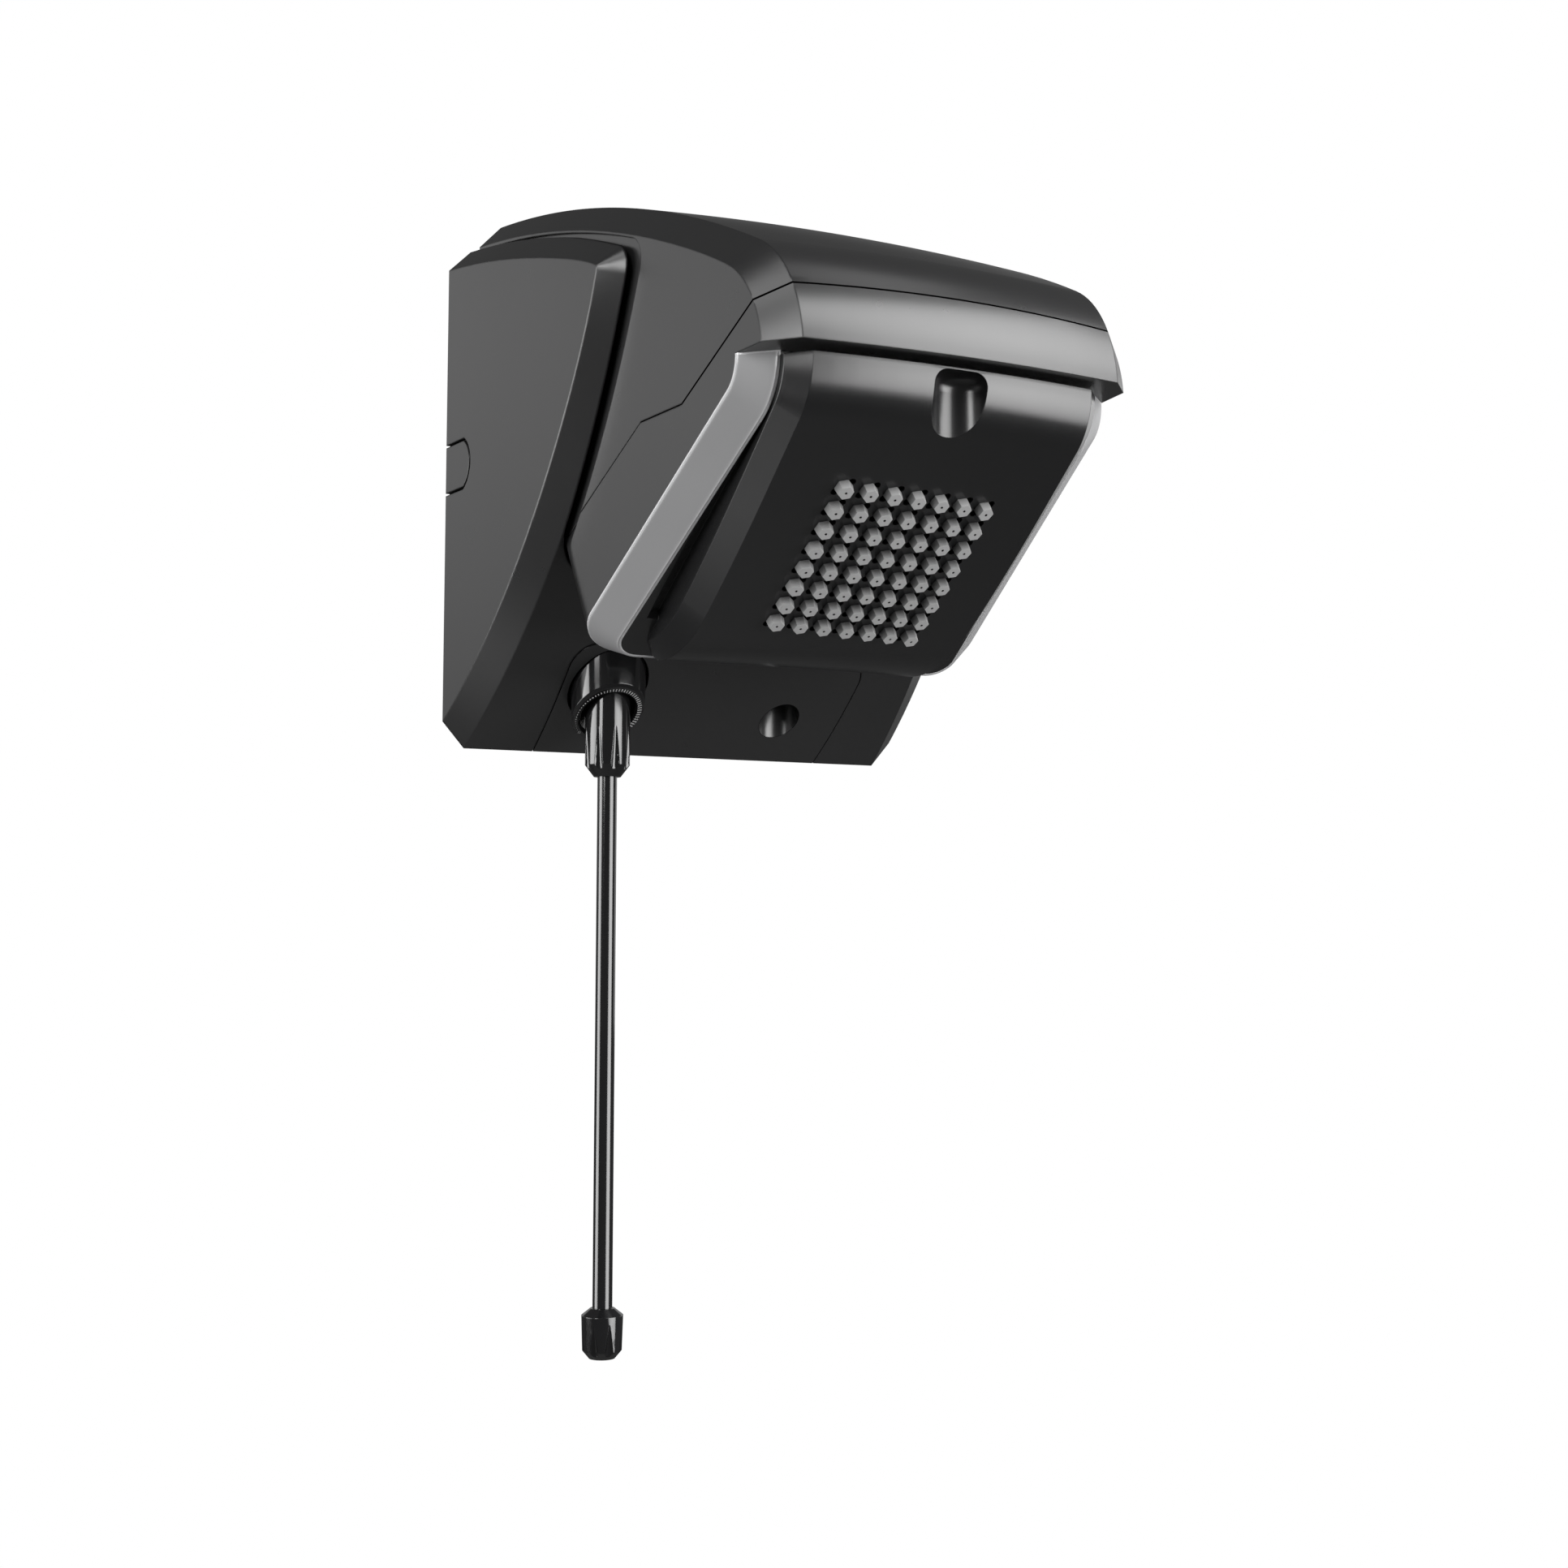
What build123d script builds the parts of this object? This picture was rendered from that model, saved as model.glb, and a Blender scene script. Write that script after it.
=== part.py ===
from build123d import *
import os
from math import atan2, cos, degrees, radians, sin, sqrt, tan

# Wall-mounted instant water-heater shower with a hanging temperature rod.
# The wall is the plane Y = 0, the front looks along -Y and +Z is up.
# The origin is the centre of the water inlet on the wall.
# A "reach" is a distance out from the wall, so reach r lies at Y = -r.

# Walls and fits
wall = 2.6
seam_gap = 0.4
shadow_gap = 1.0
fit_gap = 0.25
press_gap = 0.04
running_gap = 0.3
tip_gap = 1.0
span = 240.0

# Wall base: one moulding with a wing on each side
base_half_width = 92.0
base_taper = 6.8
base_bottom = -87.4
base_belly_reach = 75.0
base_belly_height = -22.5
base_corner_reach = 124.5
base_corner_height = 63.4
base_corner_radius = 9.0
base_shoulder_reach = 62.0
base_shoulder_height = 83.5
base_top = 95.5
edge_bevel = 8.0
rear_plate = 4.0
wing_rim = 10.0
knockout_high = 22.5
knockout_low = 4.0
knockout_reach = 15.0
knockout_slit = 0.9
knockout_depth = 1.4
room_half_width = 75.0
wall_screw_radius = 2.6
wall_screw_spacing = 120.0
wall_screw_height = 60.0

# Head: a hood over a bowl, both narrowing toward the front
head_half_width = 80.5
head_taper = 5.17
head_tail = 30.0
head_tail_height = 111.4
head_floor = -20.0
crown_reach = 100.0
crown_height = 86.4
visor_reach = 214.3
visor_bottom = 13.8
brow_setback = 24.3
brow_height = 49.3
bow_axis = 185.7
seam_slope = 27.0
seam_setback = 59.1
seam_step_length = 26.6
seam_step_height = 6.0
channel_width = 6.0
channel_depth = 1.4

# Bowl mouth, its bright trim and the heel behind it
mouth_setback = 18.0
mouth_corner_height = 1.7
mouth_slope = 31.5
mouth_radius = 20.0
heel_reach = 84.0
heel_lean = 29.0
heel_radius = 17.0
trim_bevel = 8.2
trim_thickness = 0.8
shell_bevel = 6.3

# Spray plate: a border in the mouth and a raised face
plate_thickness = 4.0
face_half_width = 47.6
face_bevel = 6.0
face_step = 12.0
face_top_gap = 1.5
face_knee_drop = 1.0
face_knee_share = 0.914
field_top_share = 0.1371
field_top_drop = 13.36
field_low_share = 0.5476
field_low_drop = 18.9
face_end_share = 0.9199
face_end_drop = 1.6
groove_width = 4.0
groove_depth = 2.4
groove_heel_gap = 24.0
scoop_radius = 9.0
scoop_round = 4.5
scoop_lip = 0.7

# Nozzles
nozzle_columns = 7
nozzle_rows = 8
nozzle_pitch = 8.31
nozzle_rake = 3.0
nub_base_flats = 5.1
nub_tip_flats = 4.3
nub_height = 3.0
nub_turn = 18.0
nub_hole_radius = 0.45
nub_hole_depth = 2.5
shank_radius = 1.1
flange_radius = 2.7
flange_thickness = 1.0
slot_length = 8.4
slot_width = 2.4

# Lower panel with the rod collar and the screw well
panel_half_width = 57.6
panel_reach = 46.0
panel_corner_radius = 8.5
panel_thickness = 3.0
rod_x = -40.3
rod_reach = 30.6
collar_radius = 14.2
collar_taper = 2.4
collar_bore_radius = 9.8
collar_end = -76.0
collar_edge = 0.8
collar_slope = 34.5
well_x = 33.0
well_reach = 20.2
well_radius = 9.4
well_mouth_radius = 7.6
well_step_height = -66.5
well_ledge_radius = 4.6
well_bore_radius = 2.6
well_ledge_height = -61.0
boss_radius = 6.0
boss_height = 13.0
panel_screw_length = 12.0

# Control rod, grips and potentiometer
grip_radius = 8.0
grip_top = -64.0
grip_bottom = -98.2
grip_end_radius = 4.8
grip_end_height = 4.2
flute_count = 8
flute_radius = 2.2
flute_tip_radius = 0.3
flute_out = 0.6
flute_height = 22.0
rod_radius = 3.5
rod_socket = 12.0
knob_top = -285.0
knob_bottom = -302.3
knob_top_radius = 7.35
knob_bottom_radius = 6.95
knob_shoulder_radius = 4.3
knob_shoulder_height = 2.4
knob_end_radius = 4.6
knob_end_height = 2.8
knob_flute_height = 12.5
shelf_top = -44.0
shelf_thickness = 3.0
shelf_half_width = 17.0
bracket_height = 16.0
shelf_front = 43.0
pot_radius = 11.0
pot_height = 9.0
pot_wall = 1.6
bushing_radius = 4.6
bushing_length = 9.0
shaft_radius = 3.0
shaft_socket = 8.0

# Water inlet, flow switch and its contacts
inlet_radius = 13.0
inlet_bore_radius = 9.3
inlet_thread_length = 13.0
inlet_throat_radius = 6.5
inlet_length = 22.0
inlet_flange_radius = 18.0
inlet_flange_thickness = 4.0
seal_thickness = 1.6
filter_thickness = 1.2
filter_hole_radius = 1.5
seat_radius = 8.9
valve_radius = 31.0
valve_cavity_radius = 22.0
valve_thickness = 11.0
valve_cavity_depth = 6.0
valve_port_radius = 5.0
diaphragm_thickness = 1.5
housing_length = 22.0
housing_end = 4.0
plunger_radius = 13.0
plunger_thickness = 3.0
plunger_stem_radius = 4.0
bridge_half_length = 17.0
bridge_half_width = 5.0
bridge_thickness = 1.5
contact_x = 13.5
contact_radius = 2.6
contact_gap = 3.4
stud_radius = 1.6
stud_length = 7.0
spring_radius = 6.4
spring_wire = 0.6
spring_turns = 4
valve_screw_circle = 26.5
valve_screw_count = 6
valve_screw_bite = 6.0

# Heating chamber over the spray plate
chamber_setback = 72.3
chamber_radius = 38.0
chamber_wall = 3.0
chamber_bore_radius = 31.5
chamber_bottom = -6.0
chamber_height = 42.0
gasket_thickness = 1.4
lid_thickness = 5.0
lid_screw_circle = 34.6
lid_screw_count = 6
lid_screw_bite = 10.0
tray_half_width = 54.5
tray_thickness = 3.0
tray_top = 13.0
tray_heel_gap = 6.0
riser_radius = 9.0
riser_bore_radius = 6.0
pipe_radius = 4.6
pipe_bore_radius = 3.4
pipe_rise = 18.0
pipe_bend = 12.0
pipe_reach = 27.5
pipe_foot = 23.0
carrier_radius = 24.0
carrier_thickness = 3.0
carrier_drop = 6.0
core_radius = 18.5
coil_radius = 20.0
coil_wire = 1.2
coil_turns = 4
coil_pitch = 6.0
terminal_x = 16.0
terminal_radius = 2.2
terminal_rise = 9.0

# Electronics and supply terminals
board_x = 3.0
board_width = 46.0
board_low = -64.0
board_high = -25.0
board_thickness = 1.6
board_reach = 10.0
standoff_radius = 3.0
sink_width = 24.0
sink_height = 22.0
sink_base = 2.5
sink_depth = 12.0
sink_fins = 5
sink_shift = 6.0
fin_thickness = 1.4
triac_width = 10.0
triac_height = 9.0
triac_depth = 4.5
block_inset = 28.5
block_height = 38.0
block_width = 34.0
block_depth = 18.0
block_tall = 16.0
wire_radius = 3.0
wire_pitch = 10.0
small_screw_radius = 1.5
small_head_radius = 2.8
small_head_height = 1.8

os.makedirs("parts", exist_ok=True)

# Worked-out places
across_width = Plane.YZ.offset(-span)
bow_plane = Plane(origin=(0, bow_axis, 0), x_dir=(1, 0, 0), z_dir=(0, -1, 0))
bow_line = Axis((0, bow_axis, 0), (0, 0, 1))
rod_plane = Plane(origin=(rod_x, -rod_reach, 0), x_dir=(1, 0, 0), z_dir=(0, -1, 0))
rod_line = Axis((rod_x, -rod_reach, 0), (0, 0, 1))
brow_reach = visor_reach - brow_setback
seam_step_front = visor_reach - seam_setback
seam_step_rear = seam_step_front - seam_step_length
mouth_reach = visor_reach - mouth_setback
mouth_rise = tan(radians(mouth_slope))
mouth_run = mouth_reach - heel_reach
heel_height = mouth_corner_height - mouth_run * mouth_rise
neck_reach = heel_reach - (head_floor - heel_height) * tan(radians(heel_lean))
trim_back = trim_bevel + trim_thickness * sqrt(2)
face_foot = face_half_width + face_bevel
face_reach = mouth_reach + face_step
face_top = visor_bottom - face_top_gap
face_knee_height = mouth_corner_height - face_knee_drop
face_end_reach = mouth_reach - face_end_share * mouth_run
groove_end_reach = heel_reach + groove_heel_gap
scoop_top = face_top - scoop_lip
tray_rear = heel_reach + tray_heel_gap
chamber_reach = mouth_reach - chamber_setback
block_x = block_inset - head_half_width
valve_front = inlet_length + valve_thickness
diaphragm_front = valve_front + diaphragm_thickness
housing_front = diaphragm_front + housing_length
plunger_rear = diaphragm_front + running_gap
plunger_front = plunger_rear + plunger_thickness
bridge_front = plunger_front + bridge_thickness
chamber_top = chamber_bottom + chamber_height
lid_bottom = chamber_top + gasket_thickness
lid_top = lid_bottom + lid_thickness
carrier_top = lid_bottom - carrier_drop
board_middle = (board_low + board_high) / 2
board_half_width = board_width / 2 - standoff_radius
board_half_height = board_high - board_middle - standoff_radius
board_corners = [
    (board_x + side * board_half_width, board_middle + end * board_half_height)
    for side in (-1, 1) for end in (-1, 1)
]
bracket_screw_spots = [
    (rod_x + side * shelf_half_width * 0.6, shelf_top + bracket_height / 2) for side in (-1, 1)
]


def side_wedge(half_width, taper, rear, front):
    """Block between two side planes that close in toward the front."""
    rear_half = half_width - rear * tan(radians(taper))
    front_half = half_width - front * tan(radians(taper))
    with BuildPart() as block:
        with BuildSketch(Plane.XY.offset(-2 * span)):
            with BuildLine():
                Polyline(
                    (rear_half, -rear), (front_half, -front),
                    (-front_half, -front), (-rear_half, -rear), close=True,
                )
            make_face()
        extrude(amount=4 * span)
    return block.part


def base_block(inset):
    """The base's side outline across its full width, drawn in by an inset."""
    with BuildPart() as block:
        with BuildSketch(across_width) as outline:
            with BuildLine():
                front = ThreePointArc(
                    (0, base_bottom),
                    (-base_belly_reach, base_belly_height),
                    (-base_corner_reach, base_corner_height),
                )
                top = ThreePointArc(
                    front @ 1, (-base_shoulder_reach, base_shoulder_height), (0, base_top)
                )
                Line(top @ 1, front @ 0)
            make_face()
            fillet(outline.vertices().sort_by(Axis.X)[0], base_corner_radius)
            if inset:
                offset(amount=-inset, kind=Kind.INTERSECTION)
        extrude(amount=2 * span)
    return block.part


def hood_form(inset, rear):
    """Bowed hood: the centre outline turned about an axis behind the wall, with bevelled sides."""
    with BuildPart() as form:
        with BuildSketch(bow_plane):
            with BuildLine():
                crown = ThreePointArc(
                    (bow_axis - head_tail, head_tail_height - inset),
                    (bow_axis + crown_reach, crown_height - inset),
                    (bow_axis + brow_reach - inset / 2, brow_height - inset),
                )
                visor = TangentArc(
                    crown @ 1,
                    (bow_axis + visor_reach - inset, visor_bottom + inset),
                    tangent=crown % 1,
                )
                Polyline(visor @ 1, (bow_axis - head_tail, visor_bottom + inset), crown @ 0)
            make_face()
        revolve(axis=bow_line)
        add(side_wedge(head_half_width - inset, head_taper, rear, span), mode=Mode.INTERSECT)
        sides = form.faces().filter_by(lambda face: abs(face.normal_at().X) > 0.9)
        chamfer(sides.edges().filter_by(GeomType.LINE, reverse=True), edge_bevel)
    return form.part


def bowl_form(inset, bevel, top):
    """Bowl under the hood: flat-sided, with a rounded heel and a bevel round its mouth."""
    with BuildPart() as form:
        with BuildSketch(across_width):
            with BuildLine():
                mouth = FilletPolyline(
                    (-mouth_reach, top + inset),
                    (-mouth_reach, mouth_corner_height),
                    (-heel_reach, heel_height),
                    radius=mouth_radius,
                )
                Polyline(mouth @ 1, (-neck_reach, head_floor), (-neck_reach, top + inset), mouth @ 0)
            make_face()
            if inset:
                offset(amount=-inset, kind=Kind.INTERSECTION)
        extrude(amount=2 * span)
        add(side_wedge(head_half_width - inset, head_taper, 0, span), mode=Mode.INTERSECT)
        heel = form.faces().filter_by(lambda face: face.normal_at().Y > 0.5).sort_by(Axis.Z)[0]
        fillet(heel.edges().filter_by(Axis.X, reverse=True), heel_radius - inset)
        mouth_faces = form.faces().filter_by(lambda face: face.normal_at().Y < -0.3)
        rim = mouth_faces.edges().filter_by(lambda edge: edge.center().Z < top - 0.1)
        chamfer(rim.filter_by(Axis.X, reverse=True) + rim.sort_by(Axis.Z)[:1], bevel)
    return form.part


def neck_form(inset, rear, low, top):
    """Straight-sided part of the head between the bowl and the wall."""
    with BuildPart() as form:
        with BuildSketch(across_width):
            with BuildLine():
                Polyline(
                    (-rear, low), (-rear, top), (-neck_reach - heel_radius, top),
                    (-neck_reach - heel_radius, low), close=True,
                )
            make_face()
        extrude(amount=2 * span)
        add(side_wedge(head_half_width - inset, head_taper, rear, span), mode=Mode.INTERSECT)
    return form.part


def behind_mouth(depth):
    """Everything behind the bowl's mouth by more than a depth, across the full width."""
    corner_reach = mouth_reach - depth
    corner_height = mouth_corner_height + depth * tan(radians(45 - mouth_slope / 2))
    with BuildPart() as space:
        with BuildSketch(across_width):
            with BuildLine():
                line = FilletPolyline(
                    (-corner_reach, span),
                    (-corner_reach, corner_height),
                    (span, corner_height - (corner_reach + span) * mouth_rise),
                    radius=mouth_radius - depth,
                )
                Polyline(line @ 1, (span, span), line @ 0)
            make_face()
        extrude(amount=2 * span)
    return space.part


def mouth_slab(thickness):
    """Sheet of one thickness behind the bowl's mouth, across the full width."""
    with BuildPart() as slab:
        with BuildSketch(across_width):
            with BuildLine():
                line = FilletPolyline(
                    (-mouth_reach, visor_bottom),
                    (-mouth_reach, mouth_corner_height),
                    (-heel_reach, heel_height),
                    radius=mouth_radius,
                )
                offset(line, amount=thickness, side=Side.LEFT)
            make_face()
        extrude(amount=2 * span)
    return slab.part


def above_seam(drop):
    """Space above the stepped seam between hood and bowl, lowered by a drop."""
    slope = tan(radians(seam_slope))
    front_height = seam_step_height + (span - seam_step_front) * slope
    low = head_floor - shadow_gap
    tail_reach = seam_step_rear - (seam_step_height - low) / slope
    with BuildPart() as space:
        with BuildSketch(across_width):
            with BuildLine():
                Polyline(
                    (-span, front_height - drop),
                    (-seam_step_front, seam_step_height - drop),
                    (-seam_step_rear, seam_step_height - drop),
                    (-tail_reach, low - drop),
                    (span, low - drop), (span, span), (-span, span), close=True,
                )
            make_face()
        extrude(amount=2 * span)
    return space.part


def below_mouth(share, drop, inset):
    """Point at a share of the mouth's run and a drop below its line, moved in by an inset."""
    reach = mouth_reach - share * mouth_run
    height = mouth_corner_height - share * mouth_run * mouth_rise - drop
    back = inset * sin(radians(mouth_slope))
    rise = inset * cos(radians(mouth_slope))
    return Vector(bow_axis + reach - back, height + rise)


def spray_outline(inset):
    """Centre outline of the spray face, as distance from the bow axis and height."""
    front = bow_axis + face_reach - inset
    top = Vector(front, face_top - inset)
    corner = Vector(front, face_knee_height + inset * tan(radians(45 - mouth_slope / 2)))
    field_start = below_mouth(field_top_share, field_top_drop, inset)
    turn = atan2(corner.X - field_start.X, corner.Y - field_start.Y)
    run = min(top.Y - corner.Y, (corner - field_start).length)
    knee = FilletPolyline(top, corner, field_start, radius=face_knee_share * run / tan(turn / 2))
    field_end = below_mouth(field_low_share, field_low_drop, inset)
    field = TangentArc(knee @ 1, field_end, tangent=knee % 1)
    tuck_end = below_mouth(face_end_share, face_end_drop, inset)
    tuck = TangentArc(field @ 1, tuck_end, tangent=field % 1)
    return knee, field, tuck


def face_form(inset):
    """Raised spray face: its centre outline turned about the bow axis, with bevelled sides."""
    back_reach = mouth_reach - plate_thickness - edge_bevel
    with BuildPart() as form:
        with BuildSketch(bow_plane):
            with BuildLine():
                knee, field, tuck = spray_outline(inset)
                end = tuck @ 1
                Polyline(
                    end,
                    (end.X, end.Y + 3 * edge_bevel),
                    (bow_axis + back_reach, (knee @ 0).Y),
                    knee @ 0,
                )
            make_face()
        revolve(axis=bow_line)
        with BuildSketch(Plane.XY.offset(-span)):
            with Locations((0, -face_end_reach - inset)):
                Rectangle(2 * (face_foot - inset), span, align=(Align.CENTER, Align.MAX))
        extrude(amount=2 * span, mode=Mode.INTERSECT)
        normal = Vector(0, -sin(radians(mouth_slope)), -cos(radians(mouth_slope)))
        mouth_depth = Vector(0, -mouth_reach, mouth_corner_height).dot(normal)
        sides = form.faces().filter_by(lambda face: abs(face.normal_at().X) > 0.9)
        outer = sides.edges().filter_by(
            lambda edge: edge.center().dot(normal) > mouth_depth - plate_thickness - inset
            and edge.center().Y < -face_end_reach - inset - 1
        )
        chamfer(outer, face_bevel)
    return form.part


def nozzle_places():
    """Places on the spray face, column by column and row by row."""
    places = []
    for row in range(nozzle_rows):
        for column in range(nozzle_columns):
            across = (column - (nozzle_columns - 1) / 2) * nozzle_pitch
            along = row * nozzle_pitch + across * tan(radians(nozzle_rake))
            share = along / ((nozzle_rows - 1) * nozzle_pitch)
            point = spray_field @ share
            slope = spray_field % share
            turn = across / point.X
            places.append(
                Plane(
                    origin=(point.X * sin(turn), bow_axis - point.X * cos(turn), point.Y),
                    x_dir=(cos(turn), sin(turn), 0),
                    z_dir=(-slope.Y * sin(turn), slope.Y * cos(turn), slope.X),
                )
            )
    return places


def small_screw(length, head_radius=small_head_radius, head_height=small_head_height):
    """Pan-head screw along Z: the head sits above Z = 0 and the shank goes down."""
    with BuildPart() as screw:
        Cylinder(head_radius, head_height, align=(Align.CENTER, Align.CENTER, Align.MIN))
        fillet(screw.edges().sort_by(Axis.Z)[-1], head_height / 2)
        with BuildSketch(Plane.XY.offset(head_height)):
            Rectangle(1.5 * head_radius, head_radius / 4)
        extrude(amount=-head_height / 2, mode=Mode.SUBTRACT)
        Cylinder(
            small_screw_radius, length, align=(Align.CENTER, Align.CENTER, Align.MAX)
        )
    return screw.part


def finish(piece, name):
    """Label a finished piece and write it."""
    piece.part.label = name
    export_step(piece.part, f"parts/{name}.step")


# The part of the spray face's outline that carries the nozzles
with BuildLine():
    spray_field = spray_outline(0)[1]

# Recess in the head's flanks where they pass between the wings
with BuildPart() as flank_channels:
    add(Pos(0, -channel_width, 0) * base_block(0))
    add(
        side_wedge(head_half_width - channel_depth, head_taper, -channel_width - wall, span),
        mode=Mode.SUBTRACT,
    )

# Head shell, later parted along the seam
with BuildPart() as head_shell:
    add(hood_form(0, 0))
    add(bowl_form(0, trim_back, visor_bottom))
    add(neck_form(0, 0, head_floor, visor_bottom))
    add(hood_form(wall, -wall), mode=Mode.SUBTRACT)
    add(bowl_form(wall, shell_bevel, visor_bottom + 2 * wall), mode=Mode.SUBTRACT)
    add(neck_form(wall, -wall, head_floor - wall, visor_bottom + 2 * wall), mode=Mode.SUBTRACT)
    add(flank_channels.part, mode=Mode.SUBTRACT)

# Upper cover: everything of the head above the seam, notched over the base's rear plate
with BuildPart() as upper_cover:
    add(head_shell.part)
    add(above_seam(0), mode=Mode.INTERSECT)
    with BuildSketch(Plane.XZ):
        with Locations((0, (base_top + seam_gap - span) / 2)):
            Rectangle(2 * span, base_top + seam_gap + span)
    extrude(amount=rear_plate + fit_gap, mode=Mode.SUBTRACT)
finish(upper_cover, "upper_cover")

# Lower body: the bowl below the seam, open at the mouth for the spray plate
with BuildPart() as lower_body:
    add(head_shell.part)
    add(above_seam(seam_gap), mode=Mode.SUBTRACT)
    add(mouth_slab(plate_thickness + fit_gap), mode=Mode.SUBTRACT)
finish(lower_body, "lower_body")

# Bright trim: the bevelled rim round the mouth
with BuildPart() as trim_frame:
    add(bowl_form(0, trim_bevel, visor_bottom))
    add(bowl_form(0, trim_back, visor_bottom), mode=Mode.SUBTRACT)
finish(trim_frame, "trim_frame")

# Spray plate: border, raised hollow face, side grooves, finger scoop and nozzle slots
nozzle_spots = nozzle_places()
with BuildPart() as plate_border:
    add(mouth_slab(plate_thickness))
    add(bowl_form(0, trim_back, visor_bottom), mode=Mode.INTERSECT)
with BuildPart() as plate_groove:
    add(mouth_slab(groove_depth))
    with BuildSketch(Plane.XY.offset(-span)):
        with Locations((face_foot, -groove_end_reach), (-face_foot - groove_width, -groove_end_reach)):
            Rectangle(groove_width, span, align=(Align.MIN, Align.MAX))
    extrude(amount=2 * span, mode=Mode.INTERSECT)
with BuildPart() as scoop_boss:
    add(face_form(0))
    with BuildSketch(Plane.XY.offset(-span)):
        with Locations((0, -face_reach)):
            Circle(scoop_radius + wall)
    extrude(amount=2 * span, mode=Mode.INTERSECT)
with BuildPart() as scoop_cut:
    with BuildSketch(Plane.XY.offset(scoop_top - span)):
        with Locations((0, -face_reach)):
            Circle(scoop_radius)
    extrude(amount=span)
    fillet(scoop_cut.edges().sort_by(Axis.Z)[-1], scoop_round)
with BuildPart() as spray_plate:
    add(face_form(0))
    add(behind_mouth(plate_thickness), mode=Mode.SUBTRACT)
    add(plate_border.part)
    add(plate_groove.part, mode=Mode.SUBTRACT)
    add(trim_frame.part, mode=Mode.SUBTRACT)
    add(face_form(wall), mode=Mode.SUBTRACT)
    add(scoop_boss.part)
    add(scoop_cut.part, mode=Mode.SUBTRACT)
    with BuildSketch(*nozzle_spots):
        SlotOverall(slot_length, slot_width, rotation=45)
    extrude(amount=2 * wall, both=True, mode=Mode.SUBTRACT)
finish(spray_plate, "spray_plate")

# Nozzles: soft six-sided tips through the plate, each held by a flange behind it
nub_taper = degrees(atan2((nub_base_flats - nub_tip_flats) / 2, nub_height))
with BuildPart() as nozzles:
    with BuildSketch(*[spot.offset(press_gap) for spot in nozzle_spots]):
        RegularPolygon(nub_base_flats / 2, 6, major_radius=False, rotation=nub_turn)
    extrude(amount=nub_height, taper=nub_taper)
    with BuildSketch(*[spot.offset(press_gap) for spot in nozzle_spots]):
        RegularPolygon(shank_radius, 6)
    extrude(amount=-wall - 2 * press_gap - fit_gap)
    with BuildSketch(*[spot.offset(-wall - fit_gap) for spot in nozzle_spots]):
        RegularPolygon(flange_radius, 6)
    extrude(amount=-flange_thickness)
    with BuildSketch(*[spot.offset(press_gap + nub_height) for spot in nozzle_spots]):
        RegularPolygon(nub_hole_radius, 6)
    extrude(amount=-nub_hole_depth, mode=Mode.SUBTRACT)
finish(nozzles, "nozzles")

# Wall base: outer form less the head's space, wing hollows, panel opening and fittings
with BuildPart() as base_form:
    add(base_block(0))
    add(side_wedge(base_half_width, base_taper, 0, span), mode=Mode.INTERSECT)
    base_sides = base_form.faces().filter_by(lambda face: abs(face.normal_at().X) > 0.9)
    chamfer(base_sides.edges().filter_by(lambda edge: edge.center().Y < -1), edge_bevel)

with BuildPart() as head_space:
    add(hood_form(-shadow_gap, rear_plate))
    add(bowl_form(-shadow_gap, trim_bevel, visor_bottom + 2 * wall))
    add(neck_form(-shadow_gap, rear_plate, head_floor - shadow_gap, visor_bottom + shadow_gap))

with BuildPart() as lower_room:
    add(base_block(panel_thickness))
    with BuildSketch(Plane.XY.offset(-span)):
        with Locations((0, -rear_plate)):
            Rectangle(2 * room_half_width, span, align=(Align.CENTER, Align.MAX))
    extrude(amount=span + head_floor, mode=Mode.INTERSECT)
    add(bowl_form(-shadow_gap - wall, trim_bevel, visor_bottom + 2 * wall), mode=Mode.SUBTRACT)

with BuildPart() as wing_room:
    add(base_block(wing_rim))
    add(side_wedge(base_half_width - wall, base_taper, rear_plate, span), mode=Mode.INTERSECT)

with BuildPart() as panel_slot:
    add(base_form.part)
    add(base_block(panel_thickness), mode=Mode.SUBTRACT)
    with BuildSketch(Plane.XY.offset(-span)) as panel_plan:
        Rectangle(
            2 * (panel_half_width + fit_gap), 2 * (panel_reach + fit_gap),
            align=(Align.CENTER, Align.CENTER),
        )
        fillet(panel_plan.vertices(), panel_corner_radius)
    extrude(amount=span + head_floor, mode=Mode.INTERSECT)
    with BuildSketch(Plane.XZ):
        with Locations((0, base_bottom + 1.3 * panel_thickness)):
            Rectangle(2 * span, span, align=(Align.CENTER, Align.MIN))
    extrude(amount=rear_plate, mode=Mode.SUBTRACT)

with BuildPart() as knockouts:
    with BuildSketch(across_width) as knockout_line:
        with BuildLine():
            knockout_mid = (knockout_high + knockout_low) / 2
            edge = Polyline((wall, knockout_high), (-knockout_reach, knockout_high))
            bulge = ThreePointArc(
                edge @ 1,
                (-knockout_reach - knockout_high / 4, knockout_mid),
                (-knockout_reach, knockout_low),
            )
            Polyline(bulge @ 1, (wall, knockout_low), edge @ 0)
        make_face()
        offset(amount=-knockout_slit, mode=Mode.SUBTRACT)
    extrude(amount=2 * span)
    add(side_wedge(base_half_width - knockout_depth, base_taper, -wall, span), mode=Mode.SUBTRACT)

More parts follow.
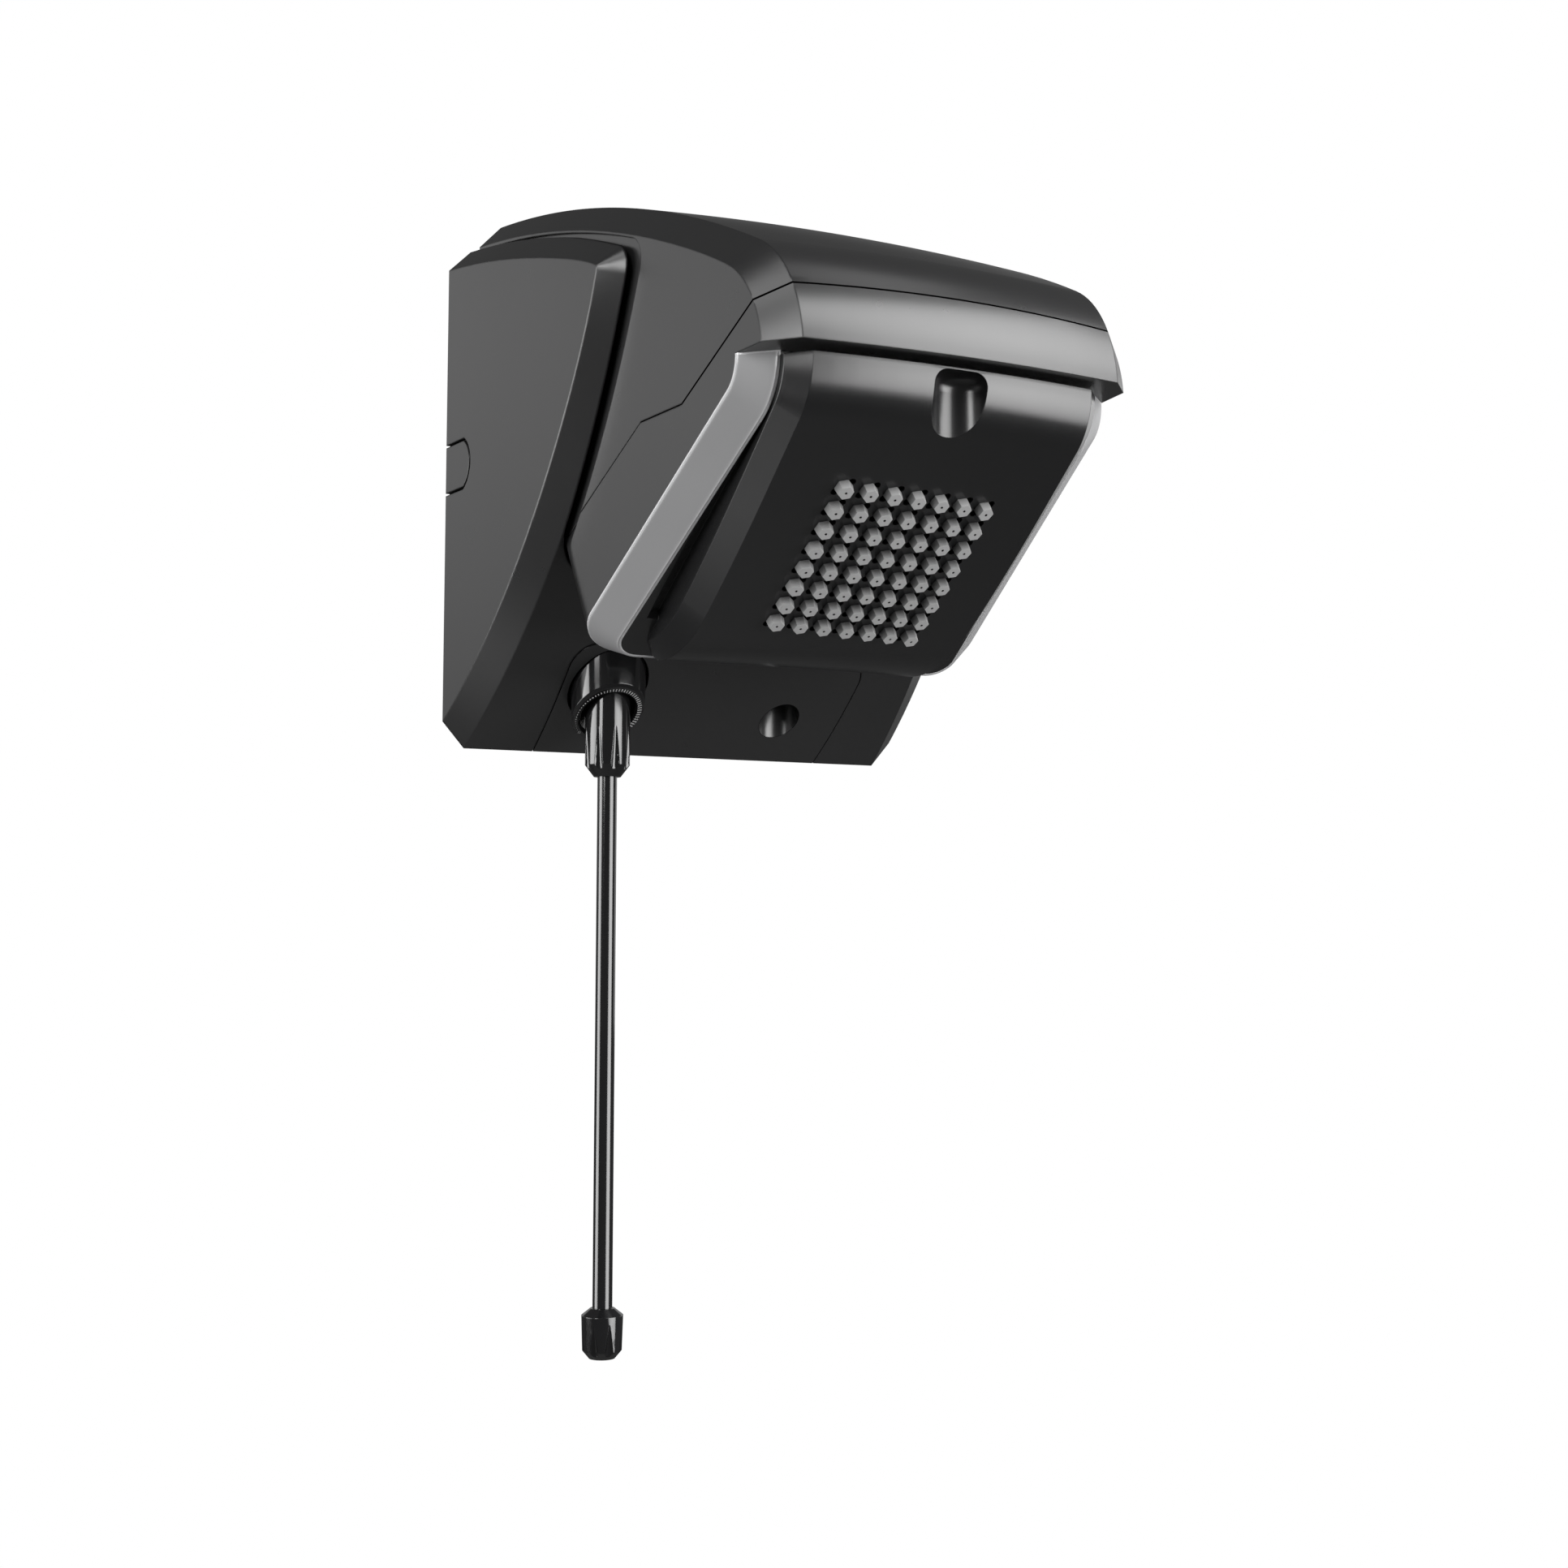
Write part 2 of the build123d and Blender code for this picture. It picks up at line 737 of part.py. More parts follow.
with BuildPart() as wall_base:
    add(base_form.part)
    add(head_space.part, mode=Mode.SUBTRACT)
    add(wing_room.part, mode=Mode.SUBTRACT)
    add(lower_room.part, mode=Mode.SUBTRACT)
    add(panel_slot.part, mode=Mode.SUBTRACT)
    add(knockouts.part, mode=Mode.SUBTRACT)
    with BuildSketch(Plane.XZ.offset(rear_plate)):
        with Locations(*board_corners):
            Circle(standoff_radius)
    extrude(amount=board_reach - rear_plate)
    with BuildSketch(Plane.XY.offset(well_ledge_height + wall + fit_gap)):
        with Locations((well_x, -well_reach)):
            Circle(boss_radius)
        with Locations((well_x, -rear_plate / 2)):
            Rectangle(boss_radius, well_reach, align=(Align.CENTER, Align.MAX))
    extrude(amount=boss_height)
    with BuildSketch(Plane.XY.offset(well_ledge_height)):
        with Locations((well_x, -well_reach)):
            Circle(small_screw_radius + press_gap)
    extrude(amount=panel_screw_length, mode=Mode.SUBTRACT)
    with BuildSketch(Plane.XZ.offset(rear_plate / 4)):
        with Locations(*board_corners, *bracket_screw_spots):
            Circle(small_screw_radius + press_gap)
    extrude(amount=board_reach, mode=Mode.SUBTRACT)
    with BuildSketch(Plane.XZ):
        Circle(inlet_radius + fit_gap)
        with GridLocations(wall_screw_spacing, 0, 2, 1):
            with Locations((0, wall_screw_height)):
                Circle(wall_screw_radius)
    extrude(amount=rear_plate, mode=Mode.SUBTRACT)
finish(wall_base, "wall_base")

# Lower panel: a piece of the base's underside with the collar hole and the screw well
with BuildPart() as panel_well:
    add(base_block(0))
    with BuildSketch(Plane.XY.offset(-span)):
        with Locations((well_x, -well_reach)):
            Circle(well_radius)
    extrude(amount=span + well_ledge_height + wall, mode=Mode.INTERSECT)
with BuildPart() as lower_panel:
    with BuildSketch(Plane.XY.offset(-span)) as panel_shape:
        Rectangle(2 * panel_half_width, 2 * panel_reach)
        fillet(panel_shape.vertices(), panel_corner_radius)
    extrude(amount=span + head_floor)
    add(panel_slot.part, mode=Mode.INTERSECT)
    add(panel_well.part)
    with BuildSketch(Plane.XY.offset(-span)):
        with Locations((rod_x, -rod_reach)):
            Circle(collar_radius + fit_gap)
        with Locations((well_x, -well_reach)):
            Circle(well_bore_radius)
    extrude(amount=2 * span, mode=Mode.SUBTRACT)
    with BuildSketch(Plane.XY.offset(well_step_height)):
        with Locations((well_x, -well_reach)):
            Circle(well_mouth_radius)
    extrude(amount=-span, mode=Mode.SUBTRACT)
    with BuildSketch(Plane.XY.offset(well_ledge_height)):
        with Locations((well_x, -well_reach)):
            Circle(well_ledge_radius)
    extrude(amount=well_step_height - well_ledge_height, mode=Mode.SUBTRACT)
finish(lower_panel, "lower_panel")

# Screw that holds the panel, driven up the well into the base's boss
with BuildPart() as panel_screw:
    with Locations(Location((well_x, -well_reach, well_ledge_height - press_gap), (180, 0, 0))):
        add(small_screw(panel_screw_length - tip_gap))
finish(panel_screw, "panel_screw")

# Bracket for the potentiometer: a shelf with an upright against the rear plate
with BuildPart() as pot_bracket:
    with BuildSketch(Plane.XY.offset(shelf_top - shelf_thickness)):
        with Locations((rod_x, -rear_plate)):
            Rectangle(2 * shelf_half_width, shelf_front - rear_plate, align=(Align.CENTER, Align.MAX))
    extrude(amount=shelf_thickness)
    with BuildSketch(Plane.XZ.offset(rear_plate)):
        with Locations((rod_x, shelf_top)):
            Rectangle(2 * shelf_half_width, bracket_height, align=(Align.CENTER, Align.MIN))
    extrude(amount=shelf_thickness)
    with BuildSketch(Plane.XY.offset(shelf_top - shelf_thickness)):
        with Locations((rod_x, -rod_reach)):
            Circle(bushing_radius + press_gap)
    extrude(amount=shelf_thickness, mode=Mode.SUBTRACT)
    with BuildSketch(Plane.XZ.offset(rear_plate)):
        with Locations(*bracket_screw_spots):
            Circle(small_screw_radius + fit_gap)
    extrude(amount=shelf_thickness, mode=Mode.SUBTRACT)
finish(pot_bracket, "pot_bracket")

# Potentiometer can with a threaded bushing below it
with BuildPart() as potentiometer:
    with BuildSketch(Plane.XY.offset(shelf_top)):
        with Locations((rod_x, -rod_reach)):
            Circle(pot_radius)
    extrude(amount=pot_height)
    with BuildSketch(Plane.XY.offset(shelf_top)):
        with Locations((rod_x, -rod_reach)):
            Circle(bushing_radius)
    extrude(amount=-bushing_length)
    with BuildSketch(Plane.XY.offset(shelf_top + pot_wall)):
        with Locations((rod_x, -rod_reach)):
            Circle(pot_radius - pot_wall)
    extrude(amount=pot_height - 2 * pot_wall, mode=Mode.SUBTRACT)
    with BuildSketch(Plane.XY.offset(shelf_top - bushing_length)):
        with Locations((rod_x, -rod_reach)):
            Circle(shaft_radius + running_gap)
    extrude(amount=bushing_length + pot_wall, mode=Mode.SUBTRACT)
finish(potentiometer, "potentiometer")

# Potentiometer shaft with its wiper disc, pressed into the grip below
with BuildPart() as pot_shaft:
    with BuildSketch(Plane.XY.offset(grip_top - shaft_socket + press_gap)):
        with Locations((rod_x, -rod_reach)):
            Circle(shaft_radius)
    extrude(amount=shelf_top + pot_wall + running_gap - grip_top + shaft_socket)
    with BuildSketch(Plane.XY.offset(shelf_top + pot_wall + running_gap)):
        with Locations((rod_x, -rod_reach)):
            Circle(pot_radius - pot_wall - running_gap)
    extrude(amount=pot_height - 2 * pot_wall - 2 * running_gap)
finish(pot_shaft, "pot_shaft")

# Collar in the panel, cut off parallel to it
with BuildPart() as dial_collar:
    with BuildSketch(Plane.XY.offset(shelf_top - shelf_thickness)):
        with Locations((rod_x, -rod_reach)):
            Circle(collar_radius)
    extrude(amount=-span / 4, taper=collar_taper)
    with BuildSketch(Plane.XY.offset(shelf_top - shelf_thickness)):
        with Locations((rod_x, -rod_reach)):
            Circle(collar_bore_radius)
    extrude(amount=-span / 4, mode=Mode.SUBTRACT)
    with BuildSketch(across_width):
        with BuildLine():
            collar_rise = tan(radians(collar_slope))
            Polyline(
                (-rod_reach - span, collar_end + span * collar_rise),
                (-rod_reach + span, collar_end - span * collar_rise),
                (-rod_reach - span, -2 * span),
                close=True,
            )
        make_face()
    extrude(amount=2 * span, mode=Mode.SUBTRACT)
    chamfer(dial_collar.edges().sort_by(Axis.Z)[:2], collar_edge)
finish(dial_collar, "dial_collar")

# Upper grip: fluted, with sockets for the shaft above and the rod below
with BuildPart() as upper_grip:
    with BuildSketch(Plane.XY.offset(grip_bottom)):
        with Locations((rod_x, -rod_reach)):
            Circle(grip_radius)
    extrude(amount=grip_top - grip_bottom)
    chamfer(
        upper_grip.edges().sort_by(Axis.Z)[0], length=grip_end_height, length2=grip_radius - grip_end_radius
    )
    with Locations((rod_x, -rod_reach, grip_bottom)):
        with PolarLocations(grip_radius + flute_out, flute_count):
            Cone(
                flute_radius, flute_tip_radius, flute_height,
                align=(Align.CENTER, Align.CENTER, Align.MIN), mode=Mode.SUBTRACT,
            )
    with BuildSketch(Plane.XY.offset(grip_bottom)):
        with Locations((rod_x, -rod_reach)):
            Circle(rod_radius + press_gap)
    extrude(amount=rod_socket, mode=Mode.SUBTRACT)
    with BuildSketch(Plane.XY.offset(grip_top)):
        with Locations((rod_x, -rod_reach)):
            Circle(shaft_radius + press_gap)
    extrude(amount=-shaft_socket, mode=Mode.SUBTRACT)
finish(upper_grip, "upper_grip")

# Hanging rod between the two grips
with BuildPart() as control_rod:
    with BuildSketch(Plane.XY.offset(knob_top - rod_socket + press_gap)):
        with Locations((rod_x, -rod_reach)):
            Circle(rod_radius)
    extrude(amount=grip_bottom - knob_top + 2 * rod_socket - 2 * press_gap)
finish(control_rod, "control_rod")

# Lower knob: a slightly tapered fluted end
with BuildPart() as lower_knob:
    with BuildSketch(rod_plane):
        with BuildLine():
            Polyline(
                (0, knob_bottom),
                (knob_end_radius, knob_bottom),
                (knob_bottom_radius, knob_bottom + knob_end_height),
                (knob_top_radius, knob_top - knob_shoulder_height),
                (knob_shoulder_radius, knob_top),
                (0, knob_top),
                close=True,
            )
        make_face()
    revolve(axis=rod_line)
    with Locations((rod_x, -rod_reach, knob_bottom)):
        with PolarLocations(knob_bottom_radius + flute_out, flute_count):
            Cone(
                flute_radius, flute_tip_radius, knob_flute_height,
                align=(Align.CENTER, Align.CENTER, Align.MIN), mode=Mode.SUBTRACT,
            )
    with BuildSketch(Plane.XY.offset(knob_top)):
        with Locations((rod_x, -rod_reach)):
            Circle(rod_radius + press_gap)
    extrude(amount=-rod_socket, mode=Mode.SUBTRACT)
finish(lower_knob, "lower_knob")

# Screws that hold the bracket to the rear plate
with BuildPart() as bracket_screws:
    with Locations(*[
        Location((x, -rear_plate - shelf_thickness, z), (90, 0, 0)) for x, z in bracket_screw_spots
    ]):
        add(small_screw(shelf_thickness + rear_plate / 2))
finish(bracket_screws, "bracket_screws")

# Threaded water inlet through the rear plate
with BuildPart() as inlet_fitting:
    with BuildSketch(Plane.XZ):
        Circle(inlet_radius)
    extrude(amount=inlet_length)
    with BuildSketch(Plane.XZ.offset(rear_plate)):
        RegularPolygon(inlet_flange_radius, 6)
    extrude(amount=inlet_flange_thickness)
    with BuildSketch(Plane.XZ):
        Circle(inlet_bore_radius)
    extrude(amount=inlet_thread_length, mode=Mode.SUBTRACT)
    with BuildSketch(Plane.XZ):
        Circle(seat_radius)
    extrude(amount=inlet_thread_length + seal_thickness + filter_thickness, mode=Mode.SUBTRACT)
    with BuildSketch(Plane.XZ):
        Circle(inlet_throat_radius)
    extrude(amount=inlet_length, mode=Mode.SUBTRACT)
finish(inlet_fitting, "inlet_fitting")

# Rubber seal ring at the bottom of the thread
with BuildPart() as inlet_seal:
    with BuildSketch(Plane.XZ.offset(inlet_thread_length)):
        Circle(seat_radius - press_gap)
        Circle(inlet_throat_radius, mode=Mode.SUBTRACT)
    extrude(amount=seal_thickness)
finish(inlet_seal, "inlet_seal")

# Filter disc behind the seal, pierced by a ring of holes
with BuildPart() as inlet_filter:
    with BuildSketch(Plane.XZ.offset(inlet_thread_length + seal_thickness)):
        Circle(seat_radius - press_gap)
        with PolarLocations(inlet_throat_radius * 0.6, 6):
            RegularPolygon(filter_hole_radius, 6, mode=Mode.SUBTRACT)
    extrude(amount=filter_thickness)
finish(inlet_filter, "inlet_filter")

# Valve body: a round block with a shallow chamber and an outlet at the top
with BuildPart() as valve_body:
    with BuildSketch(Plane.XZ.offset(inlet_length)):
        Circle(valve_radius)
    extrude(amount=valve_thickness)
    with BuildSketch(Plane.XZ.offset(inlet_length)):
        Circle(valve_port_radius)
    extrude(amount=valve_thickness, mode=Mode.SUBTRACT)
    with BuildSketch(Plane.XZ.offset(valve_front)):
        Circle(valve_cavity_radius)
    extrude(amount=-valve_cavity_depth, mode=Mode.SUBTRACT)
    with BuildSketch(Plane.XY.offset(pipe_foot)):
        with Locations((0, -pipe_reach)):
            Circle(pipe_radius + press_gap)
    extrude(amount=span, mode=Mode.SUBTRACT)
    with BuildSketch(Plane.XZ.offset(valve_front)):
        with PolarLocations(valve_screw_circle, valve_screw_count):
            Circle(small_screw_radius + press_gap)
    extrude(amount=-valve_screw_bite, mode=Mode.SUBTRACT)
finish(valve_body, "valve_body")

# Rubber diaphragm clamped between valve and switch
with BuildPart() as flow_diaphragm:
    with BuildSketch(Plane.XZ.offset(valve_front)):
        Circle(valve_radius)
        with PolarLocations(valve_screw_circle, valve_screw_count):
            Circle(small_screw_radius + fit_gap, mode=Mode.SUBTRACT)
    extrude(amount=diaphragm_thickness)
finish(flow_diaphragm, "flow_diaphragm")

# Switch housing: a cup with the contacts in its closed end
with BuildPart() as switch_housing:
    with BuildSketch(Plane.XZ.offset(diaphragm_front)):
        Circle(valve_radius)
        with PolarLocations(valve_screw_circle, valve_screw_count):
            Circle(small_screw_radius + fit_gap, mode=Mode.SUBTRACT)
    extrude(amount=housing_length)
    with BuildSketch(Plane.XZ.offset(diaphragm_front)):
        Circle(valve_cavity_radius)
    extrude(amount=housing_length - housing_end, mode=Mode.SUBTRACT)
    with BuildSketch(Plane.XZ.offset(housing_front)):
        Circle(plunger_stem_radius + running_gap)
        with Locations((-contact_x, 0), (contact_x, 0)):
            Circle(stud_radius + press_gap)
    extrude(amount=-housing_end, mode=Mode.SUBTRACT)
finish(switch_housing, "switch_housing")

# Plunger pushed forward by the diaphragm when water flows
with BuildPart() as switch_plunger:
    with BuildSketch(Plane.XZ.offset(plunger_rear)):
        Circle(plunger_radius)
    extrude(amount=plunger_thickness)
    with BuildSketch(Plane.XZ.offset(plunger_front)):
        Circle(plunger_stem_radius)
    extrude(amount=housing_front - plunger_front - housing_end / 2)
finish(switch_plunger, "switch_plunger")

# Contact bridge carried on the plunger
with BuildPart() as contact_bridge:
    with BuildSketch(Plane.XZ.offset(plunger_front)):
        SlotOverall(2 * bridge_half_length, 2 * bridge_half_width)
        Circle(plunger_stem_radius + press_gap, mode=Mode.SUBTRACT)
    extrude(amount=bridge_thickness)
finish(contact_bridge, "contact_bridge")

# Fixed contacts with studs through the housing's end
with BuildPart() as fixed_contacts:
    with BuildSketch(Plane.XZ.offset(bridge_front + contact_gap)):
        with Locations((-contact_x, 0), (contact_x, 0)):
            Circle(contact_radius)
    extrude(amount=housing_front - housing_end - bridge_front - contact_gap)
    with BuildSketch(Plane.XZ.offset(housing_front - housing_end)):
        with Locations((-contact_x, 0), (contact_x, 0)):
            Circle(stud_radius)
    extrude(amount=housing_end + stud_length)
finish(fixed_contacts, "fixed_contacts")

# Return spring between bridge and housing end
with BuildPart() as return_spring:
    with BuildLine():
        spring_start = bridge_front + spring_wire + press_gap
        spring_run = housing_front - housing_end - spring_wire - press_gap - spring_start
        spring_path = Helix(
            spring_run / spring_turns, spring_run, spring_radius,
            center=(0, -spring_start, 0), direction=(0, -1, 0),
        )
    with BuildSketch(Plane(origin=spring_path @ 0, z_dir=spring_path % 0)):
        RegularPolygon(spring_wire, 8)
    sweep(path=spring_path, is_frenet=True)
finish(return_spring, "return_spring")

# Long screws that clamp housing, diaphragm and valve together
with BuildPart() as valve_screws:
    with BuildSketch(Plane.XZ.offset(housing_front)):
        with PolarLocations(valve_screw_circle, valve_screw_count):
            Circle(small_head_radius)
    extrude(amount=small_head_height)
    with BuildSketch(Plane.XZ.offset(housing_front)):
        with PolarLocations(valve_screw_circle, valve_screw_count):
            Circle(small_screw_radius)
    extrude(amount=valve_front - housing_front - valve_screw_bite + tip_gap)
finish(valve_screws, "valve_screws")

# Feed pipe from the valve's outlet up and over to the chamber lid
with BuildPart() as feed_pipe:
    with BuildLine() as pipe_path:
        FilletPolyline(
            (0, -pipe_reach, pipe_foot + press_gap),
            (0, -pipe_reach, lid_top + pipe_rise),
            (0, -chamber_reach, lid_top + pipe_rise),
            (0, -chamber_reach, lid_bottom),
            radius=pipe_bend,
        )
    with BuildSketch(Plane.XY.offset(pipe_foot + press_gap)):
        with Locations((0, -pipe_reach)):
            Circle(pipe_radius)
            Circle(pipe_bore_radius, mode=Mode.SUBTRACT)
    sweep(path=pipe_path.wire())
finish(feed_pipe, "feed_pipe")

# Spray tray: closes the back of the spray plate and carries the chamber on a riser
with BuildPart() as tray_riser:
    add(behind_mouth(plate_thickness))
    with BuildSketch(Plane.XY.offset(-span)):
        with Locations((0, -chamber_reach)):
            Circle(riser_radius)
    extrude(amount=span + chamber_bottom, mode=Mode.INTERSECT)
with BuildPart() as spray_tray:
    add(behind_mouth(plate_thickness))
    add(behind_mouth(plate_thickness + tray_thickness), mode=Mode.SUBTRACT)
    with BuildSketch(Plane.XY.offset(-span)):
        with Locations((0, -tray_rear)):
            Rectangle(2 * tray_half_width, span, align=(Align.CENTER, Align.MAX))
    extrude(amount=span + tray_top, mode=Mode.INTERSECT)
    add(tray_riser.part)
    with BuildSketch(Plane.XY.offset(-span)):
        with Locations((0, -chamber_reach)):
            Circle(riser_bore_radius)
    extrude(amount=2 * span, mode=Mode.SUBTRACT)
finish(spray_tray, "spray_tray")

# Heating chamber: a round tub with an outlet in its floor
with BuildPart() as heating_chamber:
    with BuildSketch(Plane.XY.offset(chamber_bottom)):
        with Locations((0, -chamber_reach)):
            Circle(chamber_radius)
    extrude(amount=chamber_height)
    with BuildSketch(Plane.XY.offset(chamber_top)):
        with Locations((0, -chamber_reach)):
            Circle(chamber_bore_radius)
    extrude(amount=chamber_wall - chamber_height, mode=Mode.SUBTRACT)
    with BuildSketch(Plane.XY.offset(chamber_bottom)):
        with Locations((0, -chamber_reach)):
            Circle(riser_bore_radius)
    extrude(amount=chamber_wall, mode=Mode.SUBTRACT)
    with BuildSketch(Plane.XY.offset(chamber_top)):
        with Locations((0, -chamber_reach)):
            with PolarLocations(lid_screw_circle, lid_screw_count):
                Circle(small_screw_radius + press_gap)
    extrude(amount=-lid_screw_bite, mode=Mode.SUBTRACT)
finish(heating_chamber, "heating_chamber")

# Gasket between chamber and lid
with BuildPart() as chamber_gasket:
    with BuildSketch(Plane.XY.offset(chamber_top)):
        with Locations((0, -chamber_reach)):
            Circle(chamber_radius)
            Circle(chamber_bore_radius, mode=Mode.SUBTRACT)
            with PolarLocations(lid_screw_circle, lid_screw_count):
                Circle(small_screw_radius + fit_gap, mode=Mode.SUBTRACT)
    extrude(amount=gasket_thickness)
finish(chamber_gasket, "chamber_gasket")

# Chamber lid with holes for the pipe, terminals and screws
with BuildPart() as chamber_lid:
    with BuildSketch(Plane.XY.offset(lid_bottom)):
        with Locations((0, -chamber_reach)):
            Circle(chamber_radius)
            Circle(pipe_radius + press_gap, mode=Mode.SUBTRACT)
            with PolarLocations(lid_screw_circle, lid_screw_count):
                Circle(small_screw_radius + fit_gap, mode=Mode.SUBTRACT)
            with Locations((-terminal_x, 0), (terminal_x, 0)):
                Circle(terminal_radius + press_gap, mode=Mode.SUBTRACT)
    extrude(amount=lid_thickness)
finish(chamber_lid, "chamber_lid")

# Screws that hold the lid down
with BuildPart() as lid_screws:
    with BuildSketch(Plane.XY.offset(lid_top)):
        with Locations((0, -chamber_reach)):
            with PolarLocations(lid_screw_circle, lid_screw_count):
                Circle(small_head_radius)
    extrude(amount=small_head_height)
    with BuildSketch(Plane.XY.offset(lid_top)):
        with Locations((0, -chamber_reach)):
            with PolarLocations(lid_screw_circle, lid_screw_count):
                Circle(small_screw_radius)
    extrude(amount=chamber_top - lid_top - lid_screw_bite + tip_gap)
finish(lid_screws, "lid_screws")

# Terminals through the lid, with a collar under it to carry the element
with BuildPart() as element_terminals:
    with BuildSketch(Plane.XY.offset(carrier_top)):
        with Locations((-terminal_x, -chamber_reach), (terminal_x, -chamber_reach)):
            Circle(terminal_radius)
    extrude(amount=lid_top + terminal_rise - carrier_top)
    with BuildSketch(Plane.XY.offset(lid_top)):
        with Locations((-terminal_x, -chamber_reach), (terminal_x, -chamber_reach)):
            RegularPolygon(2 * terminal_radius, 6)
    extrude(amount=terminal_radius)
finish(element_terminals, "element_terminals")

# Ceramic carrier that hangs from the terminals
with BuildPart() as coil_carrier:
    with BuildSketch(Plane.XY.offset(carrier_top)):
        with Locations((0, -chamber_reach)):
            Circle(carrier_radius)
    extrude(amount=-carrier_thickness)
    with BuildSketch(Plane.XY.offset(carrier_top - carrier_thickness)):
        with Locations((0, -chamber_reach)):
            Circle(core_radius)
    extrude(amount=-coil_turns * coil_pitch - 2 * coil_wire)
finish(coil_carrier, "coil_carrier")

# Resistance wire wound round the carrier's core
with BuildPart() as heating_coil:
    with BuildLine():
        coil_path = Helix(
            coil_pitch, coil_turns * coil_pitch, coil_radius,
            center=(0, -chamber_reach, carrier_top - carrier_thickness - coil_wire - press_gap),
            direction=(0, 0, -1),
        )
    with BuildSketch(Plane(origin=coil_path @ 0, z_dir=coil_path % 0)):
        RegularPolygon(coil_wire, 8)
    sweep(path=coil_path, is_frenet=True)
finish(heating_coil, "heating_coil")

# Circuit board on the base's standoffs
with BuildPart() as circuit_board:
    with BuildSketch(Plane.XZ.offset(board_reach)):
        with Locations((board_x, board_middle)):
            Rectangle(board_width, board_high - board_low)
        with Locations(*board_corners):
            Circle(small_screw_radius + fit_gap, mode=Mode.SUBTRACT)
    extrude(amount=board_thickness)
finish(circuit_board, "circuit_board")

# Screws that hold the board
with BuildPart() as board_screws:
    with Locations(*[
        Location((x, -board_reach - board_thickness, z), (90, 0, 0)) for x, z in board_corners
    ]):
        add(small_screw(board_reach + board_thickness - rear_plate))
finish(board_screws, "board_screws")

# Finned heat sink on the board
with BuildPart() as heat_sink:
    with BuildSketch(Plane.XZ.offset(board_reach + board_thickness)):
        with Locations((board_x - sink_shift, board_middle)):
            Rectangle(sink_width, sink_height)
    extrude(amount=sink_base)
    with BuildSketch(Plane.XZ.offset(board_reach + board_thickness + sink_base)):
        with Locations((board_x - sink_shift, board_middle)):
            with GridLocations((sink_width - fin_thickness) / (sink_fins - 1), 0, sink_fins, 1):
                Rectangle(fin_thickness, sink_height)
    extrude(amount=sink_depth - sink_base)
finish(heat_sink, "heat_sink")

# Power switching device against the side of the sink
with BuildPart() as triac:
    with BuildSketch(Plane.XZ.offset(board_reach + board_thickness)):
        with Locations((board_x - sink_shift + (sink_width + triac_width) / 2, board_middle)):
            Rectangle(triac_width, triac_height)
    extrude(amount=triac_depth)
finish(triac, "triac")

# Supply terminal block on the rear plate
wire_spots = [(block_x + shift * wire_pitch, block_height) for shift in (-1, 0, 1)]
with BuildPart() as terminal_block:
    with BuildSketch(Plane.XZ.offset(rear_plate)):
        with Locations((block_x, block_height)):
            Rectangle(block_width, block_tall)
    extrude(amount=block_depth)
    with BuildSketch(Plane.XY.offset(block_height)):
        with Locations(*[(x, -rear_plate - block_depth / 3) for x, z in wire_spots]):
            Circle(wire_radius)
    extrude(amount=block_tall, both=True, mode=Mode.SUBTRACT)
    with BuildSketch(Plane.XZ.offset(rear_plate + block_depth)):
        with Locations(*wire_spots):
            Circle(small_screw_radius + press_gap)
    extrude(amount=-block_depth / 2, mode=Mode.SUBTRACT)
finish(terminal_block, "terminal_block")

# Clamp screws of the terminal block
with BuildPart() as terminal_screws:
    with Locations(*[Location((x, -rear_plate - block_depth, z), (90, 0, 0)) for x, z in wire_spots]):
        add(small_screw(block_depth / 3))
finish(terminal_screws, "terminal_screws")
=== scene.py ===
"""Looks of a wall-mounted instant water heater shower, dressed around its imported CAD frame.

Everything is in the CAD frame: the wall is Y = 0, the front looks along -Y and +Z is up.
Blender works in metres. The sizes of the finishes and of the shower's pieces, and the camera's lens
and sensor, are in millimetres, the studio's other sizes in metres, and all angles in degrees.
"""

import logging
import math
from dataclasses import dataclass, replace
from enum import Enum
from typing import Any, ClassVar, Mapping, Sequence, Union

import bmesh
import bpy
from mathutils import Matrix, Vector


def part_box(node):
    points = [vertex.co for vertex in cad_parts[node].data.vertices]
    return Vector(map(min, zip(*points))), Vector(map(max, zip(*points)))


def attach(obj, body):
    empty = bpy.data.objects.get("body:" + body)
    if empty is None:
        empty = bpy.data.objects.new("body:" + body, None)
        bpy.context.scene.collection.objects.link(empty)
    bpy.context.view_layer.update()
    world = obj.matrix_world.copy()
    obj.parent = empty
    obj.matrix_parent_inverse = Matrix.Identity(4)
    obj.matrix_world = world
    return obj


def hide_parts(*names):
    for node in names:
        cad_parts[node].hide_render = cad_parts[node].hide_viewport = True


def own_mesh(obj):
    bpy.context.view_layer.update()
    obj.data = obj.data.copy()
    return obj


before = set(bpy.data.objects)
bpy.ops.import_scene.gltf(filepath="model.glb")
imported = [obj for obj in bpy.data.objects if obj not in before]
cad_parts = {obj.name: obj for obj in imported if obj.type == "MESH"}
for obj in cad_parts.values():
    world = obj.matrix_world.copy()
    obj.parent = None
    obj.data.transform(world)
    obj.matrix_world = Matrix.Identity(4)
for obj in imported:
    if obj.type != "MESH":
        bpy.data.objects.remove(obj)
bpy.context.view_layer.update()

LOG = logging.getLogger("shower_scene")
MM = 0.001
NOISE_MEAN = 0.5
Colour = tuple[float, float, float]
Place = tuple[float, float, float]
Span = tuple[float, float]
Value = Union[float, "Sock"]


class Body(Enum):
    """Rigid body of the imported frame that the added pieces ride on."""

    SHOWER = "shower"


class Slot(Enum):
    """Names of material slots; nothing in this script gives them to a piece."""

    STEEL = "screw_steel"
    INNER = "inner_white"


